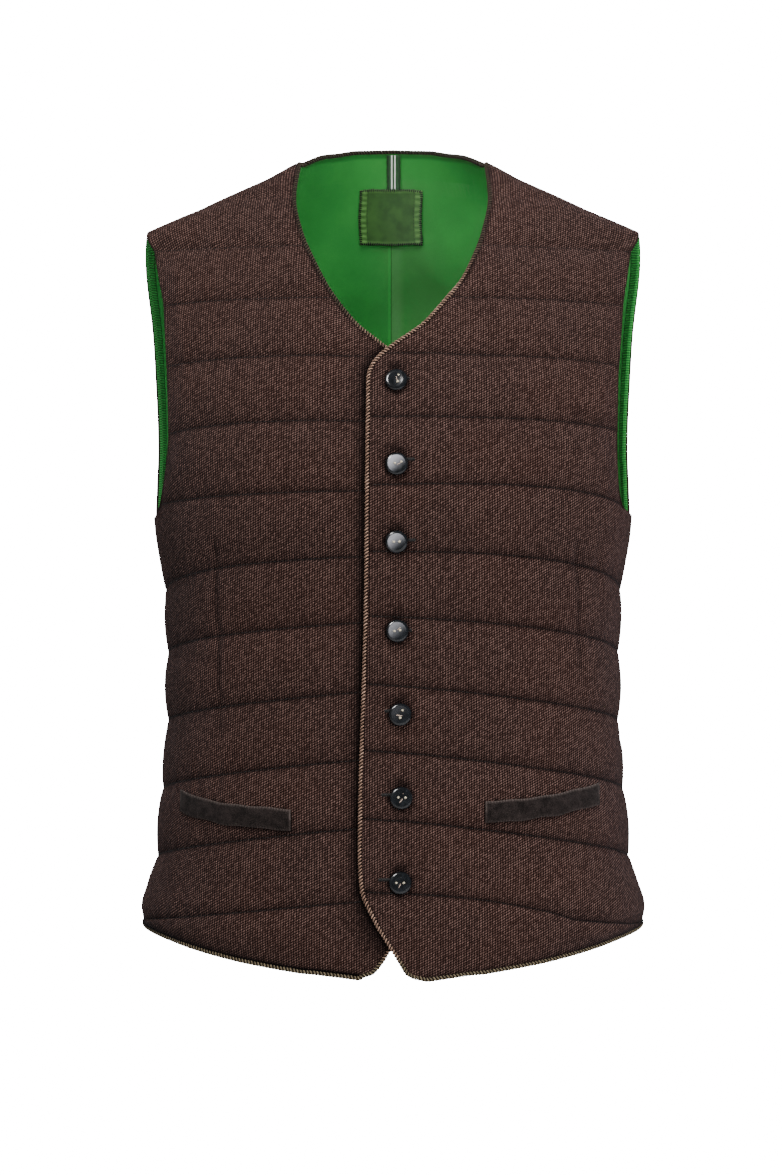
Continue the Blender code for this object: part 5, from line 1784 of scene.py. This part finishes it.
# %% Buttonholes
# button: x of the slit's two ends from the button's middle, and how far it lies above that
BUTTONHOLES = {
    1: (-0.006, 0.0100, 0.0010), 2: (-0.006, 0.0138, 0.0036), 3: (-0.006, 0.0146, 0.0015),
    4: (-0.006, 0.0108, 0.0005), 5: (-0.0118, 0.006, 0.0028), 6: (-0.0152, 0.006, 0.0024),
    7: (-0.0168, 0.006, 0.0024),
}
HOLE_HALF_GAP = 0.0007
for k, (start, end, above) in BUTTONHOLES.items():
    middle, facing = buttons[k - 1]
    x = middle[0] + np.linspace(start, end, 16)
    rows, facings = [], []
    for side in (-1, 1):
        z = middle[2] + above + side * HOLE_HALF_GAP + 0 * x
        points, ways = dropped(left_face, x, z)
        rows.append(points + ways * 0.0002)
        facings.append(ways)
    sew(f"buttonhole_{k}", rows, facings, silk_thread, "brown_knit",
        Spacing=0.0006, Length=0.0016, Thickness=0.00025, Lean=math.pi / 2, Jitter=0.08, Seed=20 + k)
    # painted shade: near-black threads along the slit
    slit, ways = dropped(left_face, x, middle[2] + above + 0 * x)
    sew(f"buttonhole_slit_{k}", [slit], [ways], slit_shade_finish, "brown_knit",
        Spacing=0.0009, Length=0.0016, Thickness=0.0010, Jitter=0.0, Seed=1)

# %% [markdown]
# ## Floor and light
# The picture is a studio cut-out on white. The backdrop is seen white, but only a little of that
# brightness lights the vest. Soft lamps do the rest: one above and one in front on the right draw the
# channels, a weak one high in front fills the shade, one at the right lights that flank, and one behind
# lights the rims. A last soft one, high on the left, shows in glossy surfaces alone and puts the highlight
# on each button. The front edges would shade the inside of the neck, so a narrow spot reaches into it.

# %% Studio
FLOOR_Z = -1.35
FLOOR_REACH = 3
BACKDROP = 22.0             # brightness of the white seen behind the vest
SURROUND = 0.16             # brightness of the same white as it lights the vest

world = bpy.data.worlds.new("studio")
world.use_nodes = True
surround = world.node_tree.nodes["Background"]
surround.inputs["Color"].default_value = (1.0, 1.0, 1.0, 1)
seen = Wire(world.node_tree, surround.outputs[0]).node("ShaderNodeLightPath")
world.node_tree.links.new((seen * (BACKDROP - SURROUND) + SURROUND).socket, surround.inputs["Strength"])
bpy.context.scene.world = world

floor_mesh = bpy.data.meshes.new("floor")
corners = [(x * FLOOR_REACH, y * FLOOR_REACH, FLOOR_Z) for x, y in ((-1, -1), (1, -1), (1, 1), (-1, 1))]
floor_mesh.from_pydata(corners, [], [(0, 1, 2, 3)])
floor = added("floor", floor_mesh)
floor_finish = Finish("pale floor", Roughness=0.9)
mottle = floor_finish.noise(3.0, 2.0)
floor_finish.surface(mottle.colour((0.86, 0.86, 0.86), (0.90, 0.90, 0.90)))
floor_mesh.materials.append(floor_finish.material)
floor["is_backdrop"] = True


def aimed(lamp, place, target):
    """Hangs a lamp at a place and turns it to a target."""
    holder = added(lamp.name, lamp)
    holder.location = place
    holder.rotation_euler = (Vector(target) - Vector(place)).to_track_quat("-Z", "Y").to_euler()
    return holder


def softbox(name, place, target, size, power, colour, glossy_only=False):
    """A soft lamp. Only one shows in glossy surfaces, so that each button has one highlight."""
    lamp = bpy.data.lights.new(name, "AREA")
    lamp.shape = "RECTANGLE"
    lamp.size, lamp.size_y = size
    lamp.energy = power
    lamp.color = colour
    holder = aimed(lamp, place, target)
    holder.visible_glossy = glossy_only
    holder.visible_diffuse = not glossy_only


def spot(name, place, target, degrees, power, radius):
    """A narrow lamp with a soft rim."""
    lamp = bpy.data.lights.new(name, "SPOT")
    lamp.energy = power
    lamp.spot_size = math.radians(degrees)
    lamp.spot_blend = 1.0
    lamp.shadow_soft_size = radius
    aimed(lamp, place, target)


softbox("top", (-0.1, -0.9, 1.5), (0, 0, -0.20), (0.9, 0.6), 35, (1.0, 0.98, 0.97))
softbox("key", (1.4, -2.4, -0.2), (0, 0, -0.30), (1.2, 1.2), 43, (1.0, 0.98, 0.97))
softbox("fill", (-0.2, -2.6, 1.5), (0, 0, -0.20), (1.0, 0.8), 7, (1.0, 0.98, 0.98))
softbox("glint", (-1.5, -2.0, 1.7), (0, 0, -0.30), (1.0, 1.0), 150, (1.0, 0.99, 0.98), True)
softbox("side", (2.4, -0.5, 0.0), (0, 0, -0.35), (0.8, 1.4), 11, (0.74, 0.84, 1.0))
spot("inside", (-0.70, -1.80, -0.40), (0.066, 0.066, -0.002), 3.2, 165, 0.05)
softbox("behind", (-0.9, 2.6, 0.9), (0, 0, -0.30), (1.4, 1.4), 60, (1.0, 0.99, 0.98))

# %% [markdown]
# ## Measures
# The last cell prints the size of the imported part and of its dressed form.

# %% Sizes
visual_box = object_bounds()
sizes = {"cad": [list(map(float, c)) for c in cad_box], "visual": [list(map(float, c)) for c in visual_box]}
print("CAD box   ", [[round(v, 4) for v in c] for c in sizes["cad"]])
print("visual box", [[round(v, 4) for v in c] for c in sizes["visual"]])
